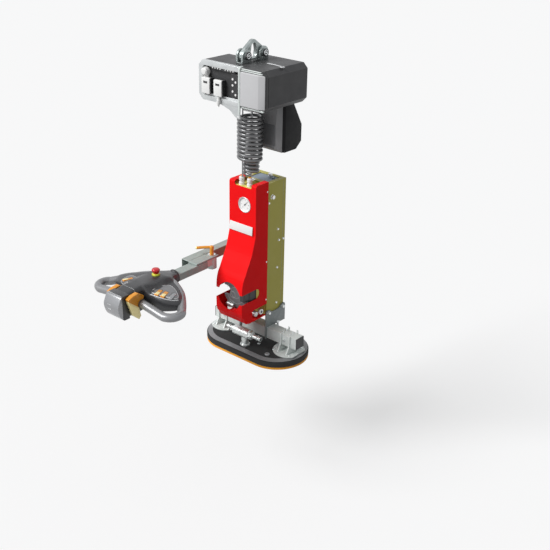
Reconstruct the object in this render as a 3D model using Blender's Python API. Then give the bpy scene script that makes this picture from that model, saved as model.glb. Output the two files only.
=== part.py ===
"""Vacuum panel lifter: a chain hoist carries a lifting unit with a suction pad and a hand control.

Units are metres and +Z is up. The origin is the centre of the underside of the pad's frame, and
heights are measured from there: the sealing lip is just below it. +X runs along the pad, and the
operator stands on the -Y side.
"""

import math

import bmesh
import bpy
from mathutils import Matrix, Vector

# General fits
CLEARANCE = 0.0003
ROUND_SEGMENTS = 24
SMALL_SEGMENTS = 14
HOUSING_STEPS = 36

# Suction pad
PAD_LENGTH = 0.600
PAD_WIDTH = 0.330
LIP_HEIGHT = 0.015
LIP_GROOVE = 0.003
LIP_WALL = 0.016
FRAME_OVERHANG = 0.005
FRAME_SIDE_HEIGHT = 0.032
FRAME_RIM_RISE = 0.006
FRAME_RIM_WIDTH = 0.028
FRAME_ROUNDING = 0.003
KNOB_RADIUS = 0.014
KNOB_HEIGHT = 0.008
KNOB_PLACE = (0.163, -0.108)

# Feet and forks that carry the pad
FOOT_RADIUS = 0.084
FOOT_THICKNESS = 0.0065
FOOT_SPACING = 0.437
FOOT_FLAT = 0.067
FORK_THICKNESS = 0.008
FORK_PAIR_PITCH = 0.056
FORK_PRONG = 0.006
FORK_FLARE = 0.024
FORK_FRONT_RISE = 0.004
FORK_REAR_RISE = 0.016
FORK_FOOT_RISE = 0.034
FORK_WELD = 0.001

# Cross beam
BEAM_SIZE = 0.060
BEAM_WALL = 0.003
BEAM_LENGTH = 0.560
BEAM_OFFSET = 0.007
BEAM_CAP_THICKNESS = 0.005
BEAM_PLUG_DEPTH = 0.012

# Tower, its brackets and head
TOWER_WIDTH = 0.170
TOWER_DEPTH = 0.136
TOWER_FRONT = -0.028
TOWER_BOTTOM = 0.203
TOWER_HEIGHT = 0.727
TOWER_SHEET = 0.003
TOWER_FLANGE = 0.024
LID_THICKNESS = 0.004
LID_BOLT_RADIUS = 0.009
LID_BOLT_HEIGHT = 0.012
LID_BOLT_PLACE = (0.040, 0.047)
BRACKET_THICKNESS = 0.008
BRACKET_LAP = 0.034
BRACKET_FRONT_LAP = 0.010
BRACKET_REAR_LAP = 0.008
BRACKET_DIP = 0.019
BRACKET_PRONG = 0.008
BRACKET_PRONG_DROP = 0.007
HEAD_DROP = 0.010
HEAD_THICKNESS = 0.006

# Red front cover
COVER_WIDTH = 0.174
COVER_SHEET = 0.003
COVER_RISE = 0.012
COVER_BOTTOM = 0.214
COVER_DEPTH_TOP = 0.093
COVER_DEPTH_BOTTOM = 0.192
COVER_BEND_RADIUS = 0.012
WINDOW_RADIUS = 0.075
WINDOW_HEIGHT = 0.363
SLOT_HEIGHT = 0.054
SLOT_END = 0.057
NOTCH_TOP = 0.278
NOTCH_DEPTH = 0.112
NOTCH_OVERCUT = 0.006
HATCH_WIDTH = 0.110
HATCH_X = 0.002
HATCH_DROP = 0.022

# Pump, manifold and gauge behind the cover
PUMP_RADIUS = 0.082
PUMP_PLATE = 0.014
PUMP_FRONT = 0.062
PUMP_RECESS_RADIUS = 0.027
PUMP_RECESS_INSET = 0.022
MOTOR_WIDTH = 0.098
MOTOR_DEPTH = 0.114
MOTOR_HEIGHT = 0.104
MOTOR_NOSE = 0.036
MOTOR_NOSE_WIDTH = 0.028
MOTOR_GAP = 0.004
NOSE_ROOT = 0.030
MANIFOLD_RADIUS = 0.013
MANIFOLD_HEIGHT = 0.254
MANIFOLD_STANDOFF = 0.092
MANIFOLD_OVERHANG = 0.010
MANIFOLD_STAY_RADIUS = 0.008
MANIFOLD_STAY_X = -0.030
GAUGE_RADIUS = 0.039
GAUGE_DEPTH = 0.026
GAUGE_X = 0.013
GAUGE_DROP = 0.100
GAUGE_STEM_RADIUS = 0.009
GAUGE_BEZEL = 0.004
NEEDLE_LENGTH = 0.026
NEEDLE_THICKNESS = 0.0012

# Valves and the chain anchor on the tower's head
VALVE_WIDTH = 0.028
VALVE_HEIGHT = 0.044
VALVE_PLACES = {"valve_block_left": (-0.026, -0.098), "valve_block_right": (0.024, -0.096)}
ANCHOR_WIDTH = 0.036
ANCHOR_DEPTH = 0.028
ANCHOR_HEIGHT = 0.026

# Tee fitting on the pad
TEE_PLACE = (0.009, -0.108)
TEE_STUB_RADIUS = 0.020
TEE_FLANGE_RADIUS = 0.026
TEE_FLANGE_HEIGHT = 0.012
TEE_BARREL_RADIUS = 0.027
TEE_BARREL_LENGTH = 0.105
TEE_BARREL_SHIFT = 0.017
TEE_REDUCER_LENGTH = 0.018
TEE_LAP = 0.001
TEE_HEIGHT = 0.110
TEE_NUT_LENGTH = 0.016
TEE_PIPE_RADIUS = 0.011
TEE_PIPE_LENGTH = 0.060
TEE_TAIL_RADIUS = 0.009
TEE_TAIL_LENGTH = 0.038

# Hoist
LIFT_AXIS_Y = -0.058
HOIST_WIDTH = 0.410
HOIST_HEIGHT = 0.185
HOIST_BOTTOM = 1.333
HOIST_FRONT = -0.180
HOIST_REAR = 0.098
HOIST_CHAMFER = 0.024
HOIST_STEP_SIDE = -0.050
HOIST_STEP_REAR = -0.020
END_FRAME_DEPTH = 0.020
END_FRAME_BORDER = 0.024
END_COVER_LEFT = 0.066
END_COVER_DEPTH = 0.034
END_COVER_FACET = 0.030
END_COVER_MARGIN = 0.015
CONTACTOR_DEPTH = 0.033
CONTACTOR_HEIGHT = 0.074
# Each contactor's distance from the window's left edge, and its width
CONTACTOR_PLACES = {"contactor_left": (0.003, 0.052), "contactor_right": (0.080, 0.050)}
CONTACTOR_LIFT = 0.009
TERMINAL_WIDTH = 0.050
TERMINAL_HEIGHT = 0.110
TERMINAL_DEPTH = 0.014
GLAND_RADIUS = 0.009
GLAND_LENGTH = 0.045
GLAND_X = -0.072
GLAND_DROP = 0.015

# Lugs and the suspension eye
PIN_SPACING = 0.120
PIN_RADIUS = 0.010
PIN_HEAD_RADIUS = 0.018
PIN_HEAD = 0.010
PIN_END = 0.006
LUG_BASE = 0.006
LUG_EAR_THICKNESS = 0.010
LUG_GAP = 0.002
LUG_EAR_RADIUS = 0.030
LUG_PIN_HEIGHT = 0.034
EYE_THICKNESS = 0.018
EYE_CORNER_RADIUS = 0.026
EYE_TOP_RADIUS = 0.030
EYE_RISE = 0.036
EYE_HOLE_RADIUS = 0.022
EYE_HOLE_LOW = 0.003
EYE_HOLE_TOP_RADIUS = 0.016
EYE_HOLE_HIGH = 0.034

# Chain, its guide and its bucket
CHAIN_RADIUS = 0.007
GUIDE_RADIUS = 0.034
GUIDE_HEIGHT = 0.020
BUCKET_WIDTH = 0.170
BUCKET_LEFT = -0.040
BUCKET_FRONT = 0.009
BUCKET_TOP_DEPTH = 0.080
BUCKET_DEPTH = 0.154
BUCKET_HEIGHT = 0.250
BUCKET_SHOULDER = 0.132
BUCKET_BEND = 0.110
BUCKET_LEAN = 0.004
BUCKET_CORNER = (0.035, 0.028)

# Spiral hose and control cable
HOSE_RADIUS = 0.0085
COIL_RADIUS = 0.055
COIL_NECK_RADIUS = 0.0325
COIL_SHIFT = (-0.006, -0.005)
COIL_DROP = 0.070
COIL_START = math.radians(219)
COIL_TURNS = 10.5
COIL_FUNNEL_TURNS = 0.5
COIL_NECK_TURNS = 3.25
COIL_STEPS = 14
FITTING_RADIUS = 0.011
CABLE_RADIUS = 0.0035
CABLE_OUT = 0.047
CABLE_ANGLE = math.radians(246.3)

# Arm on the tower's left side
ARM_SIZE = 0.050
ARM_WALL = 0.003
ARM_STANDOFF = 0.081
ARM_BOTTOM = 0.494
ARM_FRONT = -0.335
ARM_REAR = 0.080
ARM_FLANGE_WIDTH = 0.100
ARM_FLANGE_HEIGHT = 0.100
ARM_FLANGE_THICKNESS = 0.008
PIVOT_PLATE_WIDTH = 0.056
PIVOT_PLATE_LENGTH = 0.159
PIVOT_PLATE_THICKNESS = 0.009
PIVOT_INSET = 0.024
BUSHING_RADIUS = 0.025
BUSHING_HEIGHT = 0.062
BOLT_RADIUS = 0.006
BOLT_NUT_RADIUS = 0.011
BOLT_NUT_HEIGHT = 0.007
WASHER_RADIUS = 0.020
WASHER_THICKNESS = 0.003
LEVER_HUB_RADIUS = 0.010
LEVER_HUB_HEIGHT = 0.046
LEVER_LENGTH = 0.078
LEVER_THICKNESS = 0.014
LEVER_AZIMUTH = math.radians(222)

# Hand control
STEM_WIDTH = 0.058
STEM_HEIGHT = 0.038
STEM_WALL = 0.003
STEM_GAP = 0.057
STEM_LENGTH = 0.246
STEM_INSERT = 0.030
NECK_WIDTH = 0.040
NECK_HEIGHT = 0.034
HOUSING_LENGTH = 0.322
HOUSING_HALF_WIDTH = 0.214
HOUSING_TOP = 0.567
HOUSING_BOTTOM = 0.435
WING_DROP = 0.027
SPINE_HALF_WIDTH = 0.048
SPINE_SLOPE = 0.036
NOSE_HALF_WIDTH = 0.047
CAP_LENGTH = 0.068
CAP_LIP = 0.002
CAP_DROP = 0.009
GRIP_RADIUS = 0.0205
GRIP_REACH = 0.212
GRIP_BEND = 0.050
GRIP_BACKSET = 0.052
GRIP_ROOT_HEIGHT = 0.500
GRIP_OUTER_HEIGHT = 0.481
GRIP_INSERT = 0.014
GRIP_TAIL = ((0.200, 0.134, 0.010), (0.148, 0.177, 0.025), (0.093, 0.200, 0.045))
GRIP_END = (0.060, 0.213, 0.055)
TRIGGER_WIDTH = 0.026
TRIGGER_GAP = 0.001
BUTTON_WIDTH = 0.022
BUTTON_LENGTH = 0.052
BUTTON_HEIGHT = 0.014
BUTTON_RISE = 0.003
BUTTON_TURN = math.radians(20)
BUTTON_TILT = math.radians(8)
BUTTON_PLACES = {
    "button_left": (-0.105, 0.192),
    "button_inner": (0.105, 0.192),
    "button_middle": (0.135, 0.183),
    "button_reset": (0.168, 0.167),
}
POCKET_HEIGHT = 0.040
STOP_RADIUS = 0.020
STOP_STEM_RADIUS = 0.010
STOP_RING_HEIGHT = 0.012
STOP_RING_SINK = 0.004
STOP_TRAVEL = 0.004
STOP_CAP_HEIGHT = 0.014
STOP_CROWN_HEIGHT = 0.008
STOP_BACKSET = 0.108

# Places that follow from the sizes
LIP_TOP = LIP_GROOVE - CLEARANCE
LIP_BOTTOM = LIP_TOP - LIP_HEIGHT
PAD_TOP = FRAME_SIDE_HEIGHT + FRAME_RIM_RISE
FOOT_BOTTOM = PAD_TOP + CLEARANCE
FOOT_TOP = FOOT_BOTTOM + FOOT_THICKNESS
BEAM_BOTTOM = FOOT_TOP + FORK_FOOT_RISE + 2 * CLEARANCE
BEAM_TOP = BEAM_BOTTOM + BEAM_SIZE
TOWER_TOP = TOWER_BOTTOM + TOWER_HEIGHT
COVER_TOP = TOWER_TOP + COVER_RISE
GAUGE_HEIGHT = TOWER_TOP - GAUGE_DROP
TOWER_REAR = TOWER_FRONT + TOWER_DEPTH
TOWER_SIDE = TOWER_WIDTH / 2
COVER_BACK = TOWER_FRONT - CLEARANCE
COVER_SIDE = COVER_WIDTH / 2
HEAD_TOP = TOWER_TOP - HEAD_DROP
HOIST_TOP = HOIST_BOTTOM + HOIST_HEIGHT
END_WINDOW_LEFT = END_FRAME_BORDER - HOIST_WIDTH / 2
PIN_HEIGHT = HOIST_TOP + LUG_PIN_HEIGHT
ARM_RIGHT = -TOWER_SIDE - ARM_STANDOFF
ARM_LEFT = ARM_RIGHT - ARM_SIZE
ARM_TOP = ARM_BOTTOM + ARM_SIZE
PLATE_BOTTOM = ARM_TOP - PIVOT_PLATE_THICKNESS
CONTROL_X = ARM_RIGHT + CLEARANCE + PIVOT_PLATE_WIDTH / 2 + 0.001
PLATE_REAR = ARM_FRONT + PIVOT_PLATE_LENGTH
PIVOT_Y = PLATE_REAR - PIVOT_INSET
BUSHING_TOP = PLATE_BOTTOM - CLEARANCE
STEM_TOP = PLATE_BOTTOM - 4 * CLEARANCE
STEM_REAR = PIVOT_Y - STEM_GAP
STEM_FRONT = STEM_REAR - STEM_LENGTH
HOUSING_REAR = STEM_FRONT + STEM_INSERT
HOUSING_FRONT = HOUSING_REAR - HOUSING_LENGTH

PARTS_NAME = "vacuum_panel_lifter"
CUTTERS_NAME = "cutters"


def clear_scene():
    """Remove every object that is already there."""
    for item in list(bpy.data.objects):
        bpy.data.objects.remove(item, do_unlink=True)


def make_collection(name):
    """Return a new collection linked to the scene."""
    group = bpy.data.collections.new(name)
    bpy.context.scene.collection.children.link(group)
    return group


def make_material(name, colour, roughness, metallic):
    """Return a Principled material with the given base colour, roughness and metallic value."""
    material = bpy.data.materials.new(name)
    material.use_nodes = True
    shader = material.node_tree.nodes["Principled BSDF"]
    shader.inputs["Base Color"].default_value = (*colour, 1.0)
    shader.inputs["Roughness"].default_value = roughness
    shader.inputs["Metallic"].default_value = metallic
    return material


def colour_set():
    """Return the materials of the lifter by name."""
    looks = {
        "cover_red": ((0.90, 0.010, 0.012), 0.35, 0.0),
        "tower_olive": ((0.44, 0.40, 0.070), 0.45, 0.0),
        "hoist_grey": ((0.055, 0.055, 0.058), 0.50, 0.0),
        "cover_grey": ((0.55, 0.55, 0.56), 0.40, 0.0),
        "zinc": ((0.50, 0.54, 0.53), 0.38, 0.9),
        "steel": ((0.66, 0.68, 0.68), 0.28, 1.0),
        "bracket_grey": ((0.17, 0.19, 0.19), 0.45, 0.3),
        "lid_blue_grey": ((0.20, 0.25, 0.32), 0.45, 0.2),
        "white_plastic": ((0.86, 0.86, 0.85), 0.40, 0.0),
        "pad_black": ((0.018, 0.018, 0.019), 0.55, 0.0),
        "lip_orange": ((0.72, 0.25, 0.015), 0.60, 0.0),
        "hose_black": ((0.040, 0.040, 0.042), 0.28, 0.0),
        "control_grey": ((0.085, 0.086, 0.092), 0.38, 0.35),
        "grip_grey": ((0.32, 0.33, 0.35), 0.30, 0.6),
        "signal_gold": ((0.80, 0.32, 0.025), 0.35, 0.1),
        "stop_red": ((0.62, 0.010, 0.020), 0.35, 0.0),
        "stop_yellow": ((0.72, 0.76, 0.060), 0.40, 0.0),
    }
    return {name: make_material(name, *look) for name, look in looks.items()}


class Workshop:
    """Makes named pieces, keeps their collections and hangs them on empties."""

    def __init__(self):
        self.parts = make_collection(PARTS_NAME)
        self.cutters = make_collection(CUTTERS_NAME)
        self.colours = colour_set()

    def frame(self, name, place, parent=None):
        """Return an empty at a world place, which carries the pieces of one body."""
        empty = bpy.data.objects.new(name, None)
        empty.location = Vector(place) - (self.place_of(parent) if parent else Vector())
        empty.parent = parent
        self.parts.objects.link(empty)
        return empty

    def place_of(self, empty):
        """Return the world place of an unturned empty."""
        place = Vector(empty.location)
        while empty.parent:
            empty = empty.parent
            place += empty.location
        return place

    def add(self, name, mesh, colour, place, frame, smooth=True):
        """Make the piece from its mesh, at a world place, hung on the frame of its body."""
        item = bpy.data.objects.new(name, mesh)
        mesh.materials.clear()
        mesh.materials.append(self.colours[colour])
        item.location = Vector(place) - self.place_of(frame)
        item.parent = frame
        self.parts.objects.link(item)
        if smooth:
            mesh.shade_smooth()
            mesh.set_sharp_from_angle(angle=math.radians(35))
        return item

    def tool(self, name, mesh, target, place, operation="DIFFERENCE"):
        """Cut or join a shape at a world place, and keep the shape as a hidden cutter."""
        shape = bpy.data.objects.new(name, mesh)
        shape.location = place
        shape.hide_render = True
        shape.display_type = "WIRE"
        self.cutters.objects.link(shape)
        step = target.modifiers.new(name, "BOOLEAN")
        step.operation = operation
        step.solver = "EXACT"
        step.object = shape
        return shape


def finish_mesh(name, shape):
    """Turn a bmesh into a mesh with its faces pointing out."""
    bmesh.ops.recalc_face_normals(shape, faces=shape.faces)
    mesh = bpy.data.meshes.new(name)
    shape.to_mesh(mesh)
    shape.free()
    return mesh


def block_mesh(name, size, bevel=0.0, segments=2, centre=(0, 0, 0)):
    """Return a box, with all its edges rounded when a bevel is given."""
    shape = bmesh.new()
    bmesh.ops.create_cube(shape, size=1.0)
    bmesh.ops.scale(shape, vec=size, verts=shape.verts)
    if bevel:
        bmesh.ops.bevel(shape, geom=shape.edges[:], offset=bevel, offset_type="OFFSET",
                        segments=segments, profile=0.5, affect="EDGES", material=-1)
    bmesh.ops.translate(shape, vec=centre, verts=shape.verts)
    return finish_mesh(name, shape)


def turn_to(axis):
    """Return the rotation that takes +Z to the named axis."""
    turns = {"X": Matrix.Rotation(math.pi / 2, 4, "Y"), "Y": Matrix.Rotation(-math.pi / 2, 4, "X")}
    return turns.get(axis, Matrix.Identity(4))


def rod_mesh(name, radius, length, axis="Z", centre=(0, 0, 0), end_radius=None,
             segments=ROUND_SEGMENTS, bevel=0.0):
    """Return a cylinder or a cone frustum along an axis, with its end edges rounded on request."""
    shape = bmesh.new()
    top = radius if end_radius is None else end_radius
    bmesh.ops.create_cone(shape, cap_ends=True, segments=segments, radius1=radius, radius2=top,
                          depth=length)
    if bevel:
        rims = [edge for edge in shape.edges if abs(edge.verts[0].co.z - edge.verts[1].co.z) < 1e-6]
        bmesh.ops.bevel(shape, geom=rims, offset=bevel, offset_type="OFFSET", segments=1,
                        profile=0.5, affect="EDGES", material=-1)
    bmesh.ops.transform(shape, matrix=turn_to(axis), verts=shape.verts)
    bmesh.ops.translate(shape, vec=centre, verts=shape.verts)
    return finish_mesh(name, shape)


def prism_mesh(name, outline, depth, axis="Z", centre=0.0, bevel=0.0):
    """Return a flat outline extruded along an axis, half of its depth to each side.

    The outline's pairs are (Y, Z) for an X axis, (X, Z) for a Y axis and (X, Y) for a Z axis.
    """
    place = {"X": lambda a, b, c: (c, a, b), "Y": lambda a, b, c: (a, c, b),
             "Z": lambda a, b, c: (a, b, c)}[axis]
    shape = bmesh.new()
    corners = [shape.verts.new(place(a, b, centre - depth / 2)) for a, b in outline]
    face = shape.faces.new(corners)
    side = bmesh.ops.extrude_face_region(shape, geom=[face])
    moved = [item for item in side["geom"] if isinstance(item, bmesh.types.BMVert)]
    bmesh.ops.translate(shape, vec=place(0, 0, depth), verts=moved)
    bmesh.ops.recalc_face_normals(shape, faces=shape.faces)
    if bevel:
        rims = [edge for edge in shape.edges
                if abs(edge.calc_face_angle(0.0)) > math.radians(60)
                and (edge.verts[0] in moved) == (edge.verts[1] in moved)]
        bmesh.ops.bevel(shape, geom=rims, offset=bevel, offset_type="OFFSET", segments=2,
                        profile=0.5, affect="EDGES", material=-1, clamp_overlap=True)
    return finish_mesh(name, shape)


def loft_mesh(name, rings):
    """Return the skin through a row of rings that have the same number of points."""
    shape = bmesh.new()
    loops = [[shape.verts.new(point) for point in ring] for ring in rings]
    for near, far in zip(loops, loops[1:]):
        for step in range(len(near)):
            after = (step + 1) % len(near)
            shape.faces.new((near[step], near[after], far[after], far[step]))
    shape.faces.new(loops[0])
    shape.faces.new(list(reversed(loops[-1])))
    return finish_mesh(name, shape)


def arc(centre, radius, start, end, steps):
    """Return points on an arc between two angles in degrees."""
    angles = [math.radians(start + (end - start) * step / steps) for step in range(steps + 1)]
    return [(centre[0] + radius * math.cos(a), centre[1] + radius * math.sin(a)) for a in angles]


def smooth_line(points, steps):
    """Return a smooth line through its points, with a few steps on each stretch."""
    line = []
    for index in range(len(points) - 1):
        before = Vector(points[max(index - 1, 0)])
        start = Vector(points[index])
        end = Vector(points[index + 1])
        after = Vector(points[min(index + 2, len(points) - 1)])
        for step in range(steps):
            t = step / steps
            place = 0.5 * (2 * start + (end - before) * t
                           + (2 * before - 5 * start + 4 * end - after) * t ** 2
                           + (3 * start - before - 3 * end + after) * t ** 3)
            line.append(tuple(place))
    return line + [tuple(points[-1])]


def hose_mesh(name, points, radius, resolution=2):
    """Return the mesh of a round hose along its points, with closed and welded ends."""
    curve = bpy.data.curves.new(name, "CURVE")
    curve.dimensions = "3D"
    curve.bevel_depth = radius
    curve.bevel_resolution = resolution
    curve.use_fill_caps = True
    spline = curve.splines.new("POLY")
    spline.points.add(len(points) - 1)
    for knot, place in zip(spline.points, points):
        knot.co = (*place, 1.0)
    holder = bpy.data.objects.new(name, curve)
    bpy.context.scene.collection.objects.link(holder)
    bpy.context.view_layer.update()
    solid = holder.evaluated_get(bpy.context.evaluated_depsgraph_get())
    raw = bpy.data.meshes.new_from_object(solid)
    bpy.data.objects.remove(holder, do_unlink=True)
    shape = bmesh.new()
    shape.from_mesh(raw)
    bmesh.ops.remove_doubles(shape, verts=shape.verts, dist=0.00001)
    return finish_mesh(name, shape)


def stadium(half_length, radius, height):
    """Return a ring with straight sides along X and round ends."""
    straight = half_length - radius
    right = arc((straight, 0), radius, -90, 90, 12)
    left = arc((-straight, 0), radius, 90, 270, 12)
    return [(x, y, height) for x, y in right + left]


def pad_ring(inset, height):
    """Return the pad's outline moved in by an inset, at a height."""
    return stadium(PAD_LENGTH / 2 - inset, PAD_WIDTH / 2 - inset, height)


def build_pad(shop, frame):
    """Suction pad: an orange sealing lip in a groove under a black frame with a sloped rim."""
    rings = [pad_ring(0.0, LIP_BOTTOM), pad_ring(0.0, LIP_TOP)]
    lip = shop.add("pad_lip", loft_mesh("pad_lip", rings), "lip_orange", (0, 0, 0), frame)
    rings = [pad_ring(LIP_WALL, LIP_BOTTOM - LIP_HEIGHT), pad_ring(LIP_WALL, LIP_HEIGHT)]
    bore = loft_mesh("lip_bore", rings)
    shop.tool("lip_bore", bore, lip, (0, 0, 0))
    edge = -FRAME_OVERHANG
    shoulder = FRAME_SIDE_HEIGHT
    rings = [pad_ring(LIP_WALL + CLEARANCE, 0.0), pad_ring(LIP_WALL + CLEARANCE, LIP_GROOVE),
             pad_ring(-CLEARANCE, LIP_GROOVE), pad_ring(-CLEARANCE, 0.0),
             pad_ring(edge + FRAME_ROUNDING, 0.0), pad_ring(edge, FRAME_ROUNDING),
             pad_ring(edge, shoulder - 2 * FRAME_ROUNDING), pad_ring(edge + FRAME_ROUNDING, shoulder),
             pad_ring(edge + FRAME_RIM_WIDTH, PAD_TOP)]
    shop.add("pad_frame", loft_mesh("pad_frame", rings), "pad_black", (0, 0, 0), frame)
    dome = [(KNOB_RADIUS * math.cos(a), KNOB_HEIGHT * math.sin(a))
            for a in (math.radians(90 * step / 5) for step in range(6))]
    rings = [[(r * math.cos(a), r * math.sin(a), z) for a in
              (math.tau * step / SMALL_SEGMENTS for step in range(SMALL_SEGMENTS))]
             for r, z in [(KNOB_RADIUS, -0.002)] + dome[:-1] + [(KNOB_RADIUS * 0.12, KNOB_HEIGHT)]]
    place = (*KNOB_PLACE, PAD_TOP + 0.002 + CLEARANCE)
    shop.add("pad_knob", loft_mesh("pad_knob", rings), "grip_grey", place, frame)


def fork_prong(rise):
    """Return half of a U fork's side view, from its floor up the prong and down to its flared foot."""
    inner = BEAM_SIZE / 2 + CLEARANCE
    outer = inner + FORK_PRONG
    floor = BEAM_BOTTOM - CLEARANCE
    top = BEAM_TOP + rise
    corner = FORK_PRONG / 2
    flare = smooth_line([(outer, top - corner), (outer, floor + FORK_FOOT_RISE * 0.35),
                         (outer + FORK_FLARE * 0.35, floor - FORK_FOOT_RISE * 0.18),
                         (outer + FORK_FLARE, FOOT_TOP - FORK_WELD)], 4)
    return [(inner, floor), (inner, top), (outer - corner, top)] + flare


def fork_outline():
    """Return a U fork's side view: a tall prong behind the beam and a low one in front of it."""
    rear = fork_prong(FORK_REAR_RISE)
    front = fork_prong(FORK_FRONT_RISE)
    return rear + [(-y, z) for y, z in reversed(front)]


def build_feet(shop, frame):
    """Two round feet on the pad, each welded to a pair of U forks that hold the beam."""
    outline = fork_outline()
    angle = math.degrees(math.acos(FOOT_FLAT / FOOT_RADIUS))
    for side, name in ((-1, "left"), (1, "right")):
        centre = side * FOOT_SPACING / 2
        disc = [(side * x, y) for x, y in arc((0, 0), FOOT_RADIUS, angle, 360 - angle, 30)]
        mesh = prism_mesh("foot", disc, FOOT_THICKNESS, "Z")
        place = (centre, 0, FOOT_BOTTOM + FOOT_THICKNESS / 2)
        foot = shop.add(f"foot_{name}", mesh, "zinc", place, frame)
        for step, row in ((-1, "inner"), (1, "outer")):
            mesh = prism_mesh("fork", outline, FORK_THICKNESS, "X")
            place = (centre + side * step * FORK_PAIR_PITCH / 2, 0, 0)
            shop.tool(f"fork_{name}_{row}", mesh, foot, place, "UNION")


def build_beam(shop, frame):
    """Square cross beam with black plugs in its ends."""
    middle = (BEAM_OFFSET, 0, BEAM_BOTTOM + BEAM_SIZE / 2)
    beam = shop.add("cross_beam", block_mesh("beam", (BEAM_LENGTH, BEAM_SIZE, BEAM_SIZE)), "zinc",
                    middle, frame)
    inner = BEAM_SIZE - 2 * BEAM_WALL
    shop.tool("beam_bore", block_mesh("beam_bore", (BEAM_LENGTH * 1.1, inner, inner)), beam, middle)
    plug = inner - 2 * CLEARANCE
    for side, name in ((-1, "left"), (1, "right")):
        plate_at = side * (CLEARANCE + BEAM_CAP_THICKNESS / 2)
        plug_at = side * (CLEARANCE + BEAM_CAP_THICKNESS / 2 - BEAM_PLUG_DEPTH / 2)
        end = (middle[0] + side * BEAM_LENGTH / 2, 0, middle[2])
        size = (BEAM_CAP_THICKNESS, BEAM_SIZE, BEAM_SIZE)
        cap = shop.add(f"beam_cap_{name}", block_mesh("cap", size, 0.001, 1, (plate_at, 0, 0)),
                       "pad_black", end, frame)
        size = (BEAM_PLUG_DEPTH, plug, plug)
        shop.tool(f"beam_plug_{name}", block_mesh("plug", size, centre=(plug_at, 0, 0)), cap, end, "UNION")


def bracket_outline():
    """Return the bracket's side view: ears on the tower, a dip between, and prongs on the beam."""
    front = TOWER_FRONT - BRACKET_FRONT_LAP
    rear = TOWER_REAR + BRACKET_REAR_LAP
    top = TOWER_BOTTOM + BRACKET_LAP
    seat = BEAM_TOP + CLEARANCE
    slot = BEAM_SIZE / 2 + CLEARANCE
    prong = slot + BRACKET_PRONG
    low = BEAM_BOTTOM - BRACKET_PRONG_DROP
    ear = 0.013
    saddle = smooth_line([(front + 2.4 * ear, top - 0.005), (front + 4.2 * ear, top - BRACKET_DIP),
                          (rear - 4.2 * ear, top - BRACKET_DIP), (rear - 2.4 * ear, top - 0.005)], 4)
    return ([(-prong, low), (-slot, low), (-slot, seat), (slot, seat), (slot, low), (prong, low),
             (prong, seat - 0.004), (rear, seat - 0.006)]
            + arc((rear - ear, top - ear), ear, 0, 100, 5) + list(reversed(saddle))
            + arc((front + ear, top - ear), ear, 80, 180, 5) + [(-prong, seat + 0.004)])


def build_tower(shop, frame):
    """Olive sheet-metal tower with its lid, its brackets on the beam and its head plate."""
    middle = (0, (TOWER_FRONT + TOWER_REAR) / 2, (TOWER_BOTTOM + TOWER_TOP) / 2)
    tower = shop.add("tower_box", block_mesh("tower", (TOWER_WIDTH, TOWER_DEPTH, TOWER_HEIGHT)),
                     "tower_olive", middle, frame)
    inner = (TOWER_WIDTH - 2 * TOWER_SHEET, TOWER_DEPTH - 2 * TOWER_SHEET)
    hollow = block_mesh("tower_hollow", (*inner, TOWER_HEIGHT - 2 * TOWER_SHEET))
    shop.tool("tower_hollow", hollow, tower, middle)
    mouth = (TOWER_WIDTH - 2 * TOWER_FLANGE, TOWER_DEPTH - 2 * TOWER_FLANGE, 6 * TOWER_SHEET)
    shop.tool("tower_mouth", block_mesh("tower_mouth", mouth, 0.003, 2), tower, (0, middle[1], TOWER_TOP))
    lid_top = TOWER_TOP - TOWER_SHEET - CLEARANCE
    lid = block_mesh("tower_lid", (inner[0] - 2 * CLEARANCE, inner[1] - 2 * CLEARANCE, LID_THICKNESS))
    lid = shop.add("tower_lid", lid, "lid_blue_grey", (0, middle[1], lid_top - LID_THICKNESS / 2), frame)
    bolt = rod_mesh("lid_bolt", LID_BOLT_RADIUS, LID_BOLT_HEIGHT, segments=6)
    shop.tool("lid_bolt", bolt, lid, (LID_BOLT_PLACE[0], TOWER_REAR - LID_BOLT_PLACE[1], lid_top), "UNION")
    for side, name in ((-1, "left"), (1, "right")):
        at = side * (TOWER_SIDE + CLEARANCE + BRACKET_THICKNESS / 2)
        mesh = prism_mesh("bracket", bracket_outline(), BRACKET_THICKNESS, "X")
        shop.add(f"bracket_{name}", mesh, "bracket_grey", (at, 0, 0), frame)
    front = COVER_BACK - COVER_DEPTH_TOP + COVER_SHEET + CLEARANCE
    size = (COVER_WIDTH - 2 * COVER_SHEET - 2 * CLEARANCE, COVER_BACK - front, HEAD_THICKNESS)
    place = (0, (COVER_BACK + front) / 2, HEAD_TOP - HEAD_THICKNESS / 2)
    shop.add("head_plate", block_mesh("head_plate", size), "tower_olive", place, frame)


def cover_profile():
    """Return the cover's front line from the top flange down to the bottom flange, as (Y, Z)."""
    top_face = COVER_BACK - COVER_DEPTH_TOP
    low_face = COVER_BACK - COVER_DEPTH_BOTTOM
    sweep = low_face - top_face
    rise = COVER_TOP - COVER_BOTTOM
    shape = [(0.00, 0.637), (0.09, 0.592), (0.17, 0.555), (0.29, 0.504), (0.54, 0.438), (0.74, 0.383),
             (0.89, 0.346), (0.98, 0.294), (1.00, 0.239), (1.00, 0.091), (0.86, 0.049)]
    swell = smooth_line([(top_face + out * sweep, COVER_BOTTOM + up * rise) for out, up in shape], 2)
    bend = arc((top_face + COVER_BEND_RADIUS, COVER_TOP - COVER_BEND_RADIUS), COVER_BEND_RADIUS, 90, 180, 4)
    foot = [(top_face + 0.68 * sweep, COVER_BOTTOM + 0.008), (top_face + 0.46 * sweep, COVER_BOTTOM)]
    heel = TOWER_FRONT - BRACKET_FRONT_LAP - CLEARANCE
    return [(COVER_BACK, COVER_TOP)] + bend + swell + foot + [(heel, COVER_BOTTOM)]


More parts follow.
